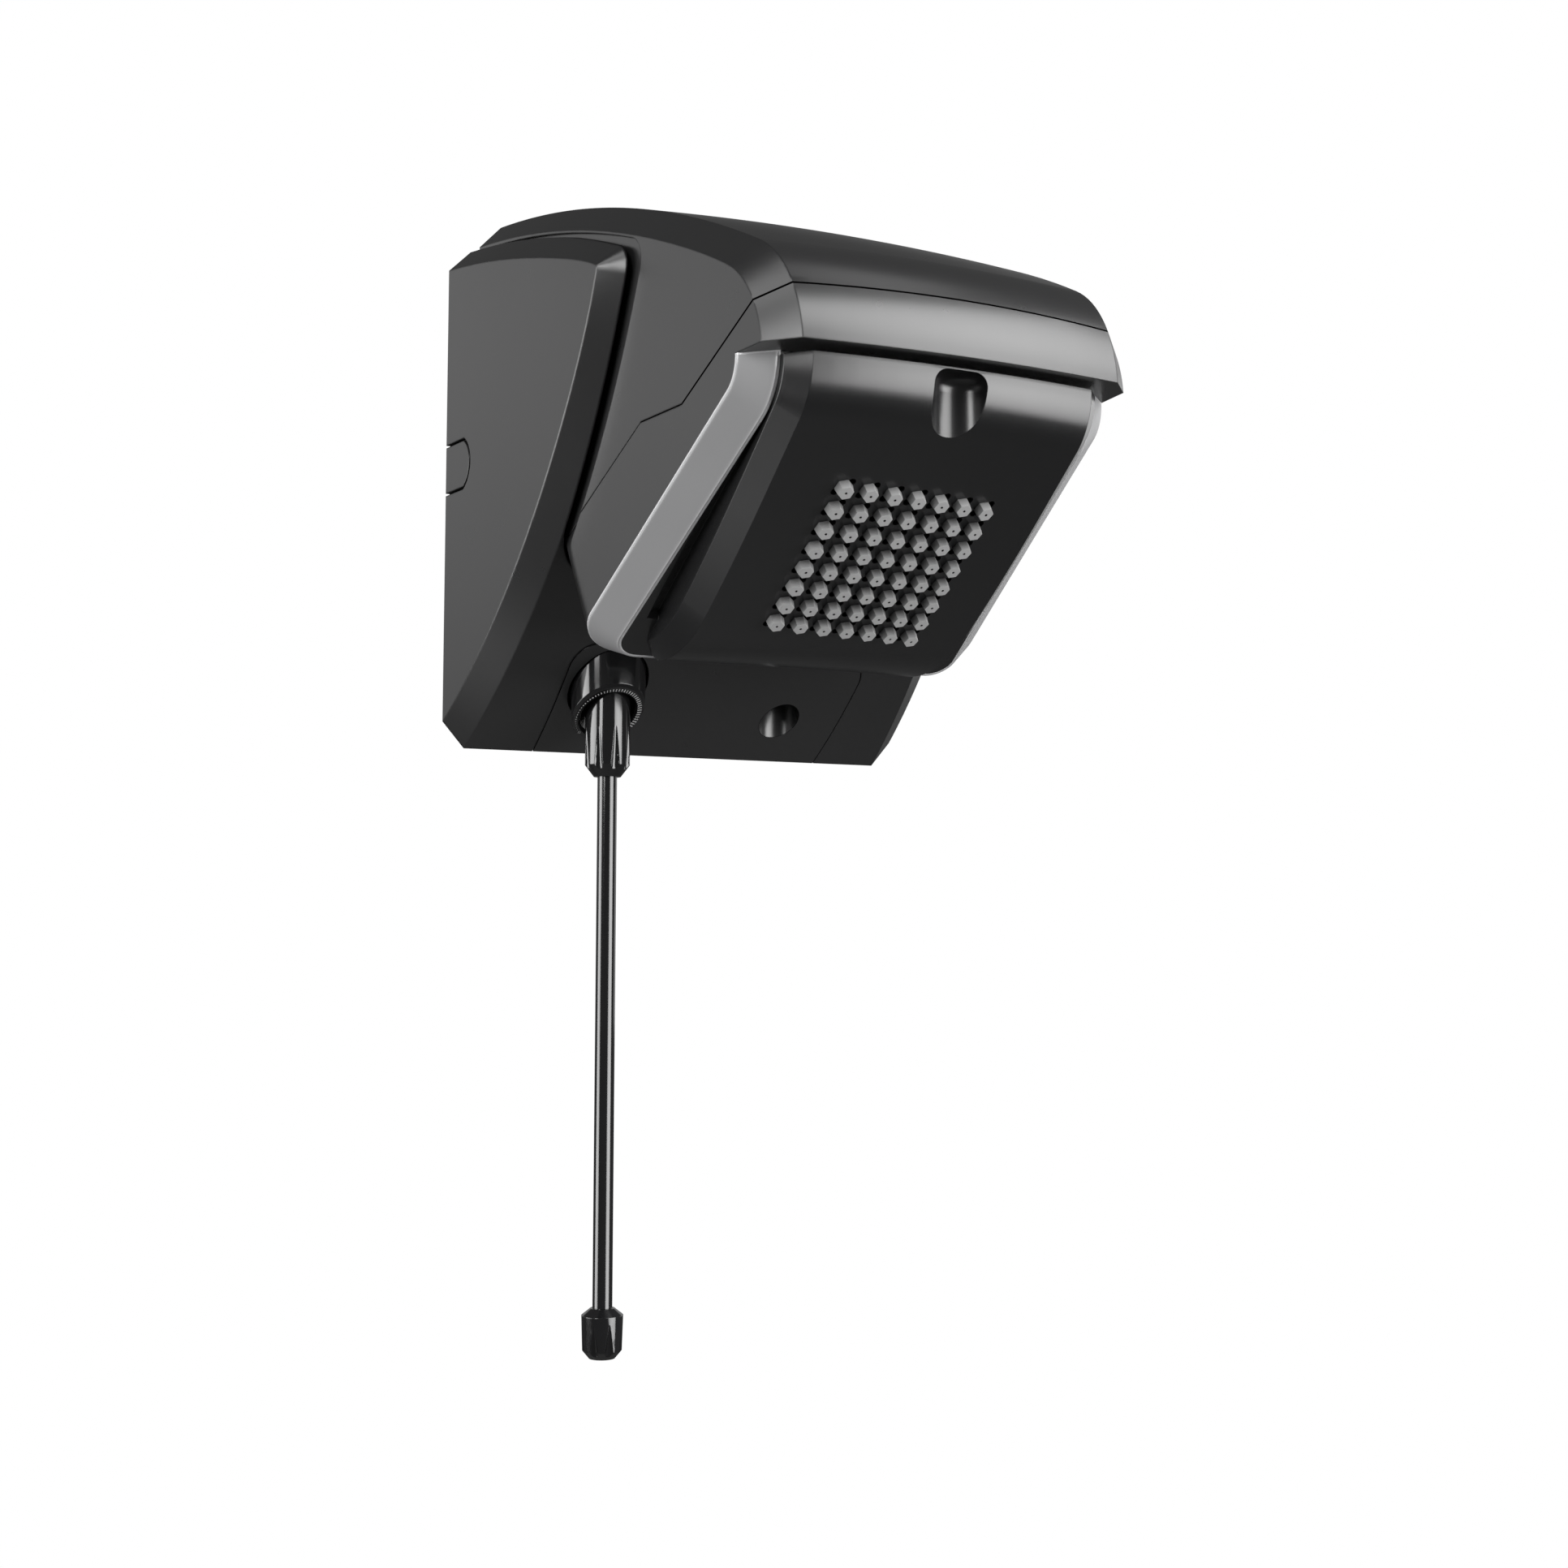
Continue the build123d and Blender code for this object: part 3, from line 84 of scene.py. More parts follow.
class Look(Enum):
    """Finishes of the shower's pieces; each value names the material."""

    HEAD = "satin_head_shell"
    WING = "satin_wing_shell"
    PANEL = "satin_panel_shell"
    RIM = "silver_paint"
    PLATE = "satin_plate"
    NOZZLE = "nozzle_silicone"
    GLOSS = "polished_black"
    STEEL = "plated_steel"
    INNER = "inner_plastic"
    CERAMIC = "fired_ceramic"
    BRASS = "turned_brass"
    SEAL = "seal_rubber"
    BOARD = "solder_mask"
    SINK = "extruded_aluminium"
    PRINT = "scale_print"


Materials = Mapping[Look, bpy.types.Material]


class Sock:
    """A shader value that can be used in Python expressions."""

    def __init__(self, shade: "Shade", socket: bpy.types.NodeSocket) -> None:
        """Wrap a socket.

        Args:
            shade: The shader that owns the socket.
            socket: The output socket to wrap.
        """
        self.shade = shade
        self.socket = socket

    def _math(self, operation: str, first: Value, second: Value) -> "Sock":
        """Add one Math node.

        Args:
            operation: The Math node's operation.
            first: Its first value.
            second: Its second value.

        Returns:
            The node's result.
        """
        node = self.shade.node("ShaderNodeMath", {"operation": operation}, {0: first, 1: second})
        return Sock(self.shade, node.outputs[0])

    def __add__(self, other: Value) -> "Sock":
        """Add a value."""
        return self._math("ADD", self, other)

    __radd__ = __add__

    def __sub__(self, other: Value) -> "Sock":
        """Subtract a value."""
        return self._math("SUBTRACT", self, other)

    def __rsub__(self, other: Value) -> "Sock":
        """Subtract from a value."""
        return self._math("SUBTRACT", other, self)

    def __mul__(self, other: Value) -> "Sock":
        """Multiply by a value."""
        return self._math("MULTIPLY", self, other)

    __rmul__ = __mul__

    def __abs__(self) -> "Sock":
        """Drop the sign."""
        return self._math("ABSOLUTE", self, 0.0)

    def most(self, other: Value) -> "Sock":
        """Return the larger of two values."""
        return self._math("MAXIMUM", self, other)

    def step(self, low: float, high: float) -> "Sock":
        """Rise smoothly from 0 to 1.

        Args:
            low: The value where the rise starts.
            high: The value where it ends.

        Returns:
            The smooth step.
        """
        node = self.shade.node(
            "ShaderNodeMapRange",
            {"interpolation_type": "SMOOTHSTEP"},
            {"Value": self, "From Min": low, "From Max": high, "To Min": 0.0, "To Max": 1.0},
        )
        return Sock(self.shade, node.outputs[0])


class Shade:
    """The node tree of a material or of the surroundings."""

    edge_span: ClassVar[Span] = (0.004, 0.12)
    edge_samples: ClassVar[int] = 6
    hollow_samples: ClassVar[int] = 8
    # Colour of the painted shade in joints, seams and outlines.
    painted_shade_colour: ClassVar[Colour] = (0.001, 0.001, 0.001)
    mix_first: ClassVar[int] = 6
    mix_second: ClassVar[int] = 7
    mix_result: ClassVar[int] = 2

    def __init__(self, owner: Union[bpy.types.Material, bpy.types.World]) -> None:
        """Open the owner's node tree.

        Args:
            owner: The material or world that is shaded.
        """
        owner.use_nodes = True
        self.owner = owner
        self.tree = owner.node_tree

    def node(
        self,
        kind: str,
        settings: Mapping[str, Any] | None = None,
        sockets: Mapping[Union[int, str], Any] | None = None,
    ) -> bpy.types.Node:
        """Add a node.

        Args:
            kind: The node's Blender type.
            settings: Values that are set on the node first.
            sockets: Values or links for its inputs, by name or place.

        Returns:
            The new node.
        """
        node = self.tree.nodes.new(kind)
        for key, value in (settings or {}).items():
            setattr(node, key, value)
        for key, value in (sockets or {}).items():
            self.feed(node.inputs[key], value)
        return node

    def feed(self, target: bpy.types.NodeSocket, value: Any) -> None:
        """Give an input its value or link.

        Args:
            target: The input socket.
            value: A number, a colour or another socket.
        """
        if isinstance(value, Sock):
            self.tree.links.new(value.socket, target)
        elif isinstance(value, bpy.types.NodeSocket):
            self.tree.links.new(value, target)
        elif isinstance(value, tuple) and target.type == "RGBA":
            target.default_value = (*value, 1.0)
        else:
            target.default_value = value

    def noise(self, size_mm: float, detail: float = 2.0, stretch: Sequence[float] = (1, 1, 1)) -> Sock:
        """Make a soft noise between 0 and 1.

        Args:
            size_mm: The size of its features.
            detail: How many finer layers it has.
            stretch: How much the pattern is drawn out along each axis.

        Returns:
            The noise value.
        """
        point = self.node("ShaderNodeTexCoord").outputs["Object"]
        place = self.node(
            "ShaderNodeMapping",
            {"vector_type": "POINT"},
            {"Vector": point, "Scale": tuple(1.0 / s for s in stretch)},
        )
        node = self.node(
            "ShaderNodeTexNoise",
            {"noise_dimensions": "3D"},
            {"Vector": place.outputs[0], "Scale": 1.0 / (size_mm * MM), "Detail": detail},
        )
        return Sock(self, node.outputs[0])

    def reach_and_height(self) -> tuple[Sock, Sock]:
        """Find where the surface is.

        Returns:
            The surface point's distance from the wall and its height, in millimetres.
        """
        point = self.node("ShaderNodeTexCoord").outputs["Object"]
        parts = self.node("ShaderNodeSeparateXYZ", {}, {0: point}).outputs
        return Sock(self, parts["Y"]) * (-1.0 / MM), Sock(self, parts["Z"]) * (1.0 / MM)

    def blend(self, share: Value, first: Any, second: Any) -> bpy.types.NodeSocket:
        """Mix two colours.

        Args:
            share: How much of the second colour shows.
            first: The colour at 0.
            second: The colour at 1.

        Returns:
            The mixed colour.
        """
        node = self.node(
            "ShaderNodeMix",
            {"data_type": "RGBA", "blend_type": "MIX"},
            {"Factor": share, self.mix_first: first, self.mix_second: second},
        )
        return node.outputs[self.mix_result]

    def rounded(self, radius_mm: Value) -> bpy.types.NodeSocket:
        """Return the surface's direction with its sharp edges rounded off."""
        settings = {"samples": self.edge_samples}
        return self.node("ShaderNodeBevel", settings, {"Radius": radius_mm * MM}).outputs[0]

    def edges(self, radius_mm: float) -> Sock:
        """Mark the sharp edges.

        Args:
            radius_mm: How far the marks reach from an edge.

        Returns:
            A mask that is 1 on the edges.
        """
        straight = self.node("ShaderNodeNewGeometry").outputs["Normal"]
        facing = self.node(
            "ShaderNodeVectorMath", {"operation": "DOT_PRODUCT"}, {0: self.rounded(radius_mm), 1: straight}
        )
        return (1.0 - Sock(self, facing.outputs["Value"])).step(*self.edge_span)

    def hollows(self, reach_mm: float) -> Sock:
        """Mark the hollows, where little light gets in.

        Args:
            reach_mm: How near the walls of a hollow are.

        Returns:
            A mask that is 1 deep in a hollow.
        """
        settings = {"samples": self.hollow_samples}
        node = self.node("ShaderNodeAmbientOcclusion", settings, {"Distance": reach_mm * MM})
        return 1.0 - Sock(self, node.outputs["AO"])

    def paint_shade_black(self, share: Value) -> None:
        """Mix in a lightless black as painted shade, as deep in a narrow joint, on a seam or round an edge.

        Args:
            share: How much of the black shows.
        """
        finish = self.tree.nodes["Principled BSDF"].outputs[0]
        black = self.node("ShaderNodeBsdfDiffuse", {}, {"Color": self.painted_shade_colour}).outputs[0]
        mixed = self.node("ShaderNodeMixShader", {}, {0: share, 1: finish, 2: black})
        self.feed(self.tree.nodes["Material Output"].inputs["Surface"], mixed.outputs[0])

    def relief(self, height: Value, depth_mm: float, edge_mm: Value) -> None:
        """Give the surface a fine relief and soft edges.

        Args:
            height: The relief, between 0 and 1.
            depth_mm: Its depth.
            edge_mm: The radius of the edges.
        """
        bump = self.node(
            "ShaderNodeBump",
            {},
            {"Strength": 1.0, "Distance": depth_mm * MM, "Height": height, "Normal": self.rounded(edge_mm)},
        )
        self.set(Normal=bump.outputs[0])

    def set(self, **values: Any) -> None:
        """Set the main shader's sockets.

        Args:
            values: The sockets' values or links, by their names with _ for a space.
        """
        shader = self.tree.nodes["Principled BSDF"]
        for key, value in values.items():
            self.feed(shader.inputs[key.replace("_", " ")], value)


def shaded(colour: Colour, share: float) -> Colour:
    """Return a colour made lighter or darker by a share of itself."""
    return tuple(min(1.0, c * share) for c in colour)


@dataclass(frozen=True)
class Seam:
    """Parting line of the head, in a plane that rises toward the front, drawn as a black line of painted
    shade.
    """

    start_reach: float = 155.2
    start_height: float = 5.8
    slope: float = 27.0
    seam_shade_mm: float = 0.3
    sharp_mm: float = 1.0
    soft_mm: float = 0.15
    far_mm: float = 50.0

    def distance(self, shade: Shade) -> Sock:
        """Measure how far the surface is from the line.

        Args:
            shade: The shader of the surface.

        Returns:
            The distance in millimetres.
        """
        reach, height = shade.reach_and_height()
        rise = math.radians(self.slope)
        past = reach - self.start_reach
        across = (height - self.start_height) * math.cos(rise) - past * math.sin(rise)
        return abs(across) + (1.0 - past.step(0.0, self.soft_mm)) * self.far_mm


@dataclass(frozen=True)
class Zone:
    """Stretch of a surface, by its reach from the wall and its height, that limits an outline of painted
    shade.
    """

    reach_least: float
    reach_most: float
    low: float
    high: float
    soft_mm: float = 0.2

    def mask(self, shade: Shade) -> Sock:
        """Mark the zone.

        Args:
            shade: The shader of the surface.

        Returns:
            A mask that is 1 inside.
        """
        reach, height = shade.reach_and_height()
        within = reach.step(self.reach_least, self.reach_least + self.soft_mm)
        within *= 1.0 - reach.step(self.reach_most, self.reach_most + self.soft_mm)
        within *= height.step(self.low, self.low + self.soft_mm)
        return within * (1.0 - height.step(self.high, self.high + self.soft_mm))


@dataclass(frozen=True)
class Moulded:
    """Moulded plastic, rubber or ceramic: slight mottling, a fine grain, rubbed edges and, where set, painted
    shade in hollows, joints, outlines and along a seam.
    """

    colour: Colour
    roughness: float
    specular: float
    mottle: float = 0.08
    drift_mm: float = 38.0
    grain_mm: float = 0.35
    grain_depth_mm: float = 0.0012
    edge_mm: float = 0.35
    wear: float = 0.08
    wear_mm: float = 2.4
    wear_span: Span = (0.35, 0.7)
    wear_keep: float = 0.7
    wear_pale: float = 0.06
    wear_rough: float = 0.15
    smear: float = 0.03
    smear_mm: float = 9.0
    joint_shade_mm: float = 0.0
    joint_shade_span: Span = (0.4, 0.75)
    # Painted shade in hollows: how far to look for walls, how strongly, and how dark the colour gets.
    painted_shade_mm: float = 0.0
    painted_shade_share: float = 1.6
    painted_shade_dark: float = 0.05
    outline_shade_mm: float = 0.0
    outline_shade_span: Span = (0.2, 0.6)
    outline_shade_zone: Zone | None = None
    seam: Seam | None = None

    def make(self, name: str) -> bpy.types.Material:
        """Build the material.

        Args:
            name: The material's name.

        Returns:
            The material.
        """
        shade = Shade(bpy.data.materials.new(name))
        drift = shade.noise(self.drift_mm, detail=3.0)
        handled = shade.noise(self.smear_mm, detail=4.0)
        patches = shade.noise(self.wear_mm, detail=3.0).step(*self.wear_span)
        rubbed = shade.edges(self.edge_mm) * patches * self.wear
        body = shade.blend(drift, shaded(self.colour, 1 - self.mottle), shaded(self.colour, 1 + self.mottle))
        # Painted shade: the colour darkens in hollows, such as the nozzles' sides near the plate.
        if self.painted_shade_mm:
            painted_hollow_shade = shade.hollows(self.painted_shade_mm) * self.painted_shade_share
            body = shade.blend(painted_hollow_shade, body, shaded(self.colour, self.painted_shade_dark))
        pale = tuple(self.wear_keep * c + self.wear_pale for c in self.colour)
        shade.set(
            Base_Color=shade.blend(rubbed, body, pale),
            Roughness=self.roughness + (handled - NOISE_MEAN) * self.smear + rubbed * self.wear_rough,
            Specular_IOR_Level=self.specular,
        )
        edge: Value = self.edge_mm
        black: Value = 0.0
        # Painted shade: narrow joints and gaps, found by how little light reaches them, turn black.
        if self.joint_shade_mm:
            black = shade.hollows(self.joint_shade_mm).step(*self.joint_shade_span)
        # Painted shade: sharp edges, such as round the wing's knock-out slits and the panel's seams, are
        # outlined black.
        if self.outline_shade_mm:
            outline = shade.edges(self.outline_shade_mm).step(*self.outline_shade_span)
            if self.outline_shade_zone:
                outline *= self.outline_shade_zone.mask(shade)
            black = outline.most(black)
        # Painted shade: a black line along the head's parting seam; the edges near it are left sharp.
        if self.seam:
            away = self.seam.distance(shade)
            edge = away.step(self.seam.sharp_mm, 2 * self.seam.sharp_mm) * self.edge_mm
            line = 1.0 - away.step(self.seam.seam_shade_mm, self.seam.seam_shade_mm + self.seam.soft_mm)
            black = line.most(black)
        shade.relief(shade.noise(self.grain_mm), self.grain_depth_mm, edge)
        # The painted shade of joints, outlines and the seam is mixed in as a lightless black.
        if isinstance(black, Sock):
            shade.paint_shade_black(black)
        return shade.owner


@dataclass(frozen=True)
class Polished:
    """Polished dark plastic with hairline scratches along its length."""

    colour: Colour
    roughness: float
    specular: float
    tint_span: Span = (0.9, 1.25)
    scratch_mm: float = 0.18
    scratch_stretch: Place = (1.0, 1.0, 40.0)
    scratch_span: Span = (0.55, 0.75)
    scratch_rough: float = 0.03
    scratch_depth_mm: float = 0.0001
    print_mm: float = 7.0
    print_rough: float = 0.04
    edge_mm: float = 0.35
    wear: float = 0.3
    wear_span: Span = (0.4, 0.7)
    wear_colour: Colour = (0.05, 0.05, 0.05)

    def make(self, name: str) -> bpy.types.Material:
        """Build the material.

        Args:
            name: The material's name.

        Returns:
            The material.
        """
        shade = Shade(bpy.data.materials.new(name))
        scratches = shade.noise(self.scratch_mm, stretch=self.scratch_stretch)
        scratched = scratches.step(*self.scratch_span) * self.scratch_rough
        prints = shade.noise(self.print_mm, detail=4.0)
        rubbed = shade.edges(self.edge_mm) * prints.step(*self.wear_span) * self.wear
        dark, light = (shaded(self.colour, share) for share in self.tint_span)
        shade.set(
            Base_Color=shade.blend(rubbed, shade.blend(prints, dark, light), self.wear_colour),
            Roughness=self.roughness + scratched + (prints - NOISE_MEAN) * self.print_rough,
            Specular_IOR_Level=self.specular,
        )
        shade.relief(scratches, self.scratch_depth_mm, self.edge_mm)
        return shade.owner


@dataclass(frozen=True)
class Metal:
    """Bare metal with fine working marks, tarnish and bright edges."""

    colour: Colour
    roughness: float
    stretch: Place = (1.0, 1.0, 12.0)
    mark_mm: float = 0.5
    mark_depth_mm: float = 0.004
    mark_rough: float = 0.2
    tarnish_mm: float = 6.0
    tarnish_dark: float = 0.82
    edge_mm: float = 0.15
    edge_share: float = 0.6
    edge_light: float = 1.15
    edge_smooth: float = 0.1

    def make(self, name: str) -> bpy.types.Material:
        """Build the material.

        Args:
            name: The material's name.

        Returns:
            The material.
        """
        shade = Shade(bpy.data.materials.new(name))
        marks = shade.noise(self.mark_mm, detail=3.0, stretch=self.stretch)
        tarnish = shade.noise(self.tarnish_mm, detail=3.0)
        bright = shade.edges(self.edge_mm) * self.edge_share
        body = shade.blend(tarnish, shaded(self.colour, self.tarnish_dark), self.colour)
        shade.set(
            Base_Color=shade.blend(bright, body, shaded(self.colour, self.edge_light)),
            Metallic=1.0,
            Roughness=self.roughness + (marks - NOISE_MEAN) * self.mark_rough - bright * self.edge_smooth,
        )
        shade.relief(marks, self.mark_depth_mm, self.edge_mm)
        return shade.owner


@dataclass(frozen=True)
class SilverPaint:
    """Silver paint on plastic: fine flakes, and glossy edges whose colour is lightened as a painted
    highlight.
    """

    colour: Colour
    roughness: float
    specular: float = 0.15
    tint_span: Span = (0.9, 1.12)
    drift_mm: float = 30.0
    flake_mm: float = 0.12
    flake_share: float = 0.7
    flake_rough: float = 0.1
    flake_depth_mm: float = 0.0015
    edge_mm: float = 0.4
    gloss_and_painted_highlight_mm: float = 1.5
    painted_highlight_gain: float = 2.5
    bright_ior: float = 2.0
    bright_roughness: float = 0.12

    def make(self, name: str) -> bpy.types.Material:
        """Build the material.

        Args:
            name: The material's name.

        Returns:
            The material.
        """
        shade = Shade(bpy.data.materials.new(name))
        flakes = shade.noise(self.flake_mm, detail=1.0)
        mottle = flakes * self.flake_share + shade.noise(self.drift_mm) * (1 - self.flake_share)
        # The edge mask gives the edges a glossy coat and, in their colour, a painted highlight.
        bright = shade.edges(self.gloss_and_painted_highlight_mm)
        dark, light = (shaded(self.colour, share) for share in self.tint_span)
        body = shade.blend(mottle, dark, light)
        shade.set(
            Base_Color=shade.blend(bright, body, shaded(self.colour, self.painted_highlight_gain)),
            Roughness=self.roughness + (flakes - NOISE_MEAN) * self.flake_rough,
            Specular_IOR_Level=self.specular,
            Coat_Weight=bright,
            Coat_IOR=self.bright_ior,
            Coat_Roughness=self.bright_roughness,
        )
        shade.relief(flakes, self.flake_depth_mm, self.edge_mm)
        return shade.owner


@dataclass(frozen=True)
class SolderMask:
    """Green lacquer over copper tracks."""

    colour: Colour
    track_colour: Colour
    roughness: float = 0.35
    specular: float = 0.5
    smear: float = 0.1
    smear_mm: float = 5.0
    track_mm: float = 2.4
    track_stretch: float = 6.0
    track_span: Span = (0.5, 0.56)
    track_depth_mm: float = 0.03
    edge_mm: float = 0.1

    def make(self, name: str) -> bpy.types.Material:
        """Build the material.

        Args:
            name: The material's name.

        Returns:
            The material.
        """
        shade = Shade(bpy.data.materials.new(name))
        across, along = (
            shade.noise(self.track_mm, detail=0.0, stretch=stretch).step(*self.track_span)
            for stretch in ((self.track_stretch, 1.0, 1.0), (1.0, 1.0, self.track_stretch))
        )
        tracks = across.most(along)
        shade.set(
            Base_Color=shade.blend(tracks, self.colour, self.track_colour),
            Roughness=self.roughness + shade.noise(self.smear_mm, detail=3.0) * self.smear,
            Specular_IOR_Level=self.specular,
        )
        shade.relief(tracks, self.track_depth_mm, self.edge_mm)
        return shade.owner


Finish = Union[Moulded, Polished, Metal, SilverPaint, SolderMask]
SATIN_SHELL = Moulded((0.016, 0.016, 0.0165), 0.28, 1.0, joint_shade_mm=1.2)
FINISHES: dict[Look, Finish] = {
    Look.HEAD: replace(SATIN_SHELL, edge_mm=0.7, seam=Seam()),
    Look.WING: replace(SATIN_SHELL, edge_mm=0.9, outline_shade_mm=0.5, outline_shade_zone=Zone(1.0, 21.5, 2.8, 23.6)),
    Look.PANEL: replace(SATIN_SHELL, edge_mm=0.1, outline_shade_mm=0.45),
    Look.RIM: SilverPaint((0.35, 0.35, 0.355), 0.5),
    Look.PLATE: Moulded((0.01, 0.01, 0.0105), 0.25, 0.9, joint_shade_mm=2.0),
    Look.NOZZLE: Moulded((0.5, 0.5, 0.5), 0.6, 0.5, mottle=0.05, edge_mm=0.12, painted_shade_mm=5.0),
    Look.GLOSS: Polished((0.008, 0.008, 0.0085), 0.1, 1.0),
    Look.STEEL: Metal((0.62, 0.62, 0.63), 0.32),
    Look.INNER: Moulded((0.74, 0.74, 0.71), 0.5, 0.4, mottle=0.03, wear=0.1),
    Look.CERAMIC: Moulded((0.78, 0.75, 0.68), 0.7, 0.3, grain_mm=0.8, grain_depth_mm=0.02, wear=0.1),
    Look.BRASS: Metal((0.70, 0.50, 0.22), 0.3, stretch=(1.0, 12.0, 1.0)),
    Look.SEAL: Moulded((0.02, 0.02, 0.02), 0.75, 0.3, wear=0.1),
    Look.BOARD: SolderMask((0.03, 0.16, 0.07), (0.06, 0.24, 0.1)),
    Look.SINK: Metal((0.72, 0.72, 0.74), 0.38),
    Look.PRINT: Moulded((0.62, 0.62, 0.62), 0.55, 0.3, mottle=0.12, edge_mm=0.03, wear=0.0),
}
PALE_FLOOR = Moulded((0.6, 0.6, 0.6), 0.9, 0.1, mottle=0.02, wear=0.0)


def circle(radius: float, corners: int) -> list[tuple[float, float]]:
    """Return the corners of a circle round the origin."""
    turns = [math.tau * corner / corners for corner in range(corners)]
    return [(radius * math.cos(turn), radius * math.sin(turn)) for turn in turns]


def join_loops(
    mesh: bmesh.types.BMesh, first: Sequence[bmesh.types.BMVert], second: Sequence[bmesh.types.BMVert]
) -> None:
    """Add the faces between two closed loops.

    Args:
        mesh: The mesh of both loops.
        first: The corners of one loop.
        second: The corners of the other, in the same order.
    """
    for this in range(len(first)):
        following = (this + 1) % len(first)
        mesh.faces.new((first[this], first[following], second[following], second[this]))


def as_object(mesh: bmesh.types.BMesh, name: str, material: bpy.types.Material) -> bpy.types.Object:
    """Turn a finished mesh into an object of the scene.

    Args:
        mesh: The mesh, which is freed.
        name: The object's name.
        material: Its finish.

    Returns:
        The new object.
    """
    data = bpy.data.meshes.new(name)
    mesh.to_mesh(data)
    mesh.free()
    data.materials.append(material)
    piece = bpy.data.objects.new(name, data)
    bpy.context.collection.objects.link(piece)
    return piece


@dataclass
class SubAssembly:
    """CAD nodes that belong together, each with its finish."""

    title: ClassVar[str] = "part"
    nodes: ClassVar[Mapping[str, Look]] = {}

    def dress(self, materials: Materials) -> list[str]:
        """Put the finishes on the CAD nodes.

        Args:
            materials: The material of each look.

        Returns:
            The names of the dressed nodes.
        """
        for name, look in self.nodes.items():
            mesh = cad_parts[name].data
            mesh.materials.clear()
            mesh.materials.append(materials[look])
        return list(self.nodes)

    def build(self, materials: Materials) -> list[str]:
        """Dress the nodes; a class with pieces of its own adds them."""
        return self.dress(materials)


@dataclass
class WallBase(SubAssembly):
    """Base with its two wings, and the panel in its underside."""

    title: ClassVar[str] = "wall base"
    nodes: ClassVar[Mapping[str, Look]] = {
        "wall_base": Look.WING,
        "lower_panel": Look.PANEL,
        "panel_screw": Look.STEEL,
    }


@dataclass
class HeadShell(SubAssembly):
    """Hood, bowl and the silver rim round the bowl's mouth."""

    title: ClassVar[str] = "head shell"
    nodes: ClassVar[Mapping[str, Look]] = {
        "upper_cover": Look.HEAD,
        "lower_body": Look.HEAD,
        "trim_frame": Look.RIM,
    }


@dataclass
class SprayHead(SubAssembly):
    """Black plate with its soft nozzles, and the tray behind it."""

    title: ClassVar[str] = "spray head"
    nodes: ClassVar[Mapping[str, Look]] = {
        "spray_plate": Look.PLATE,
        "nozzles": Look.NOZZLE,
        "spray_tray": Look.INNER,
    }


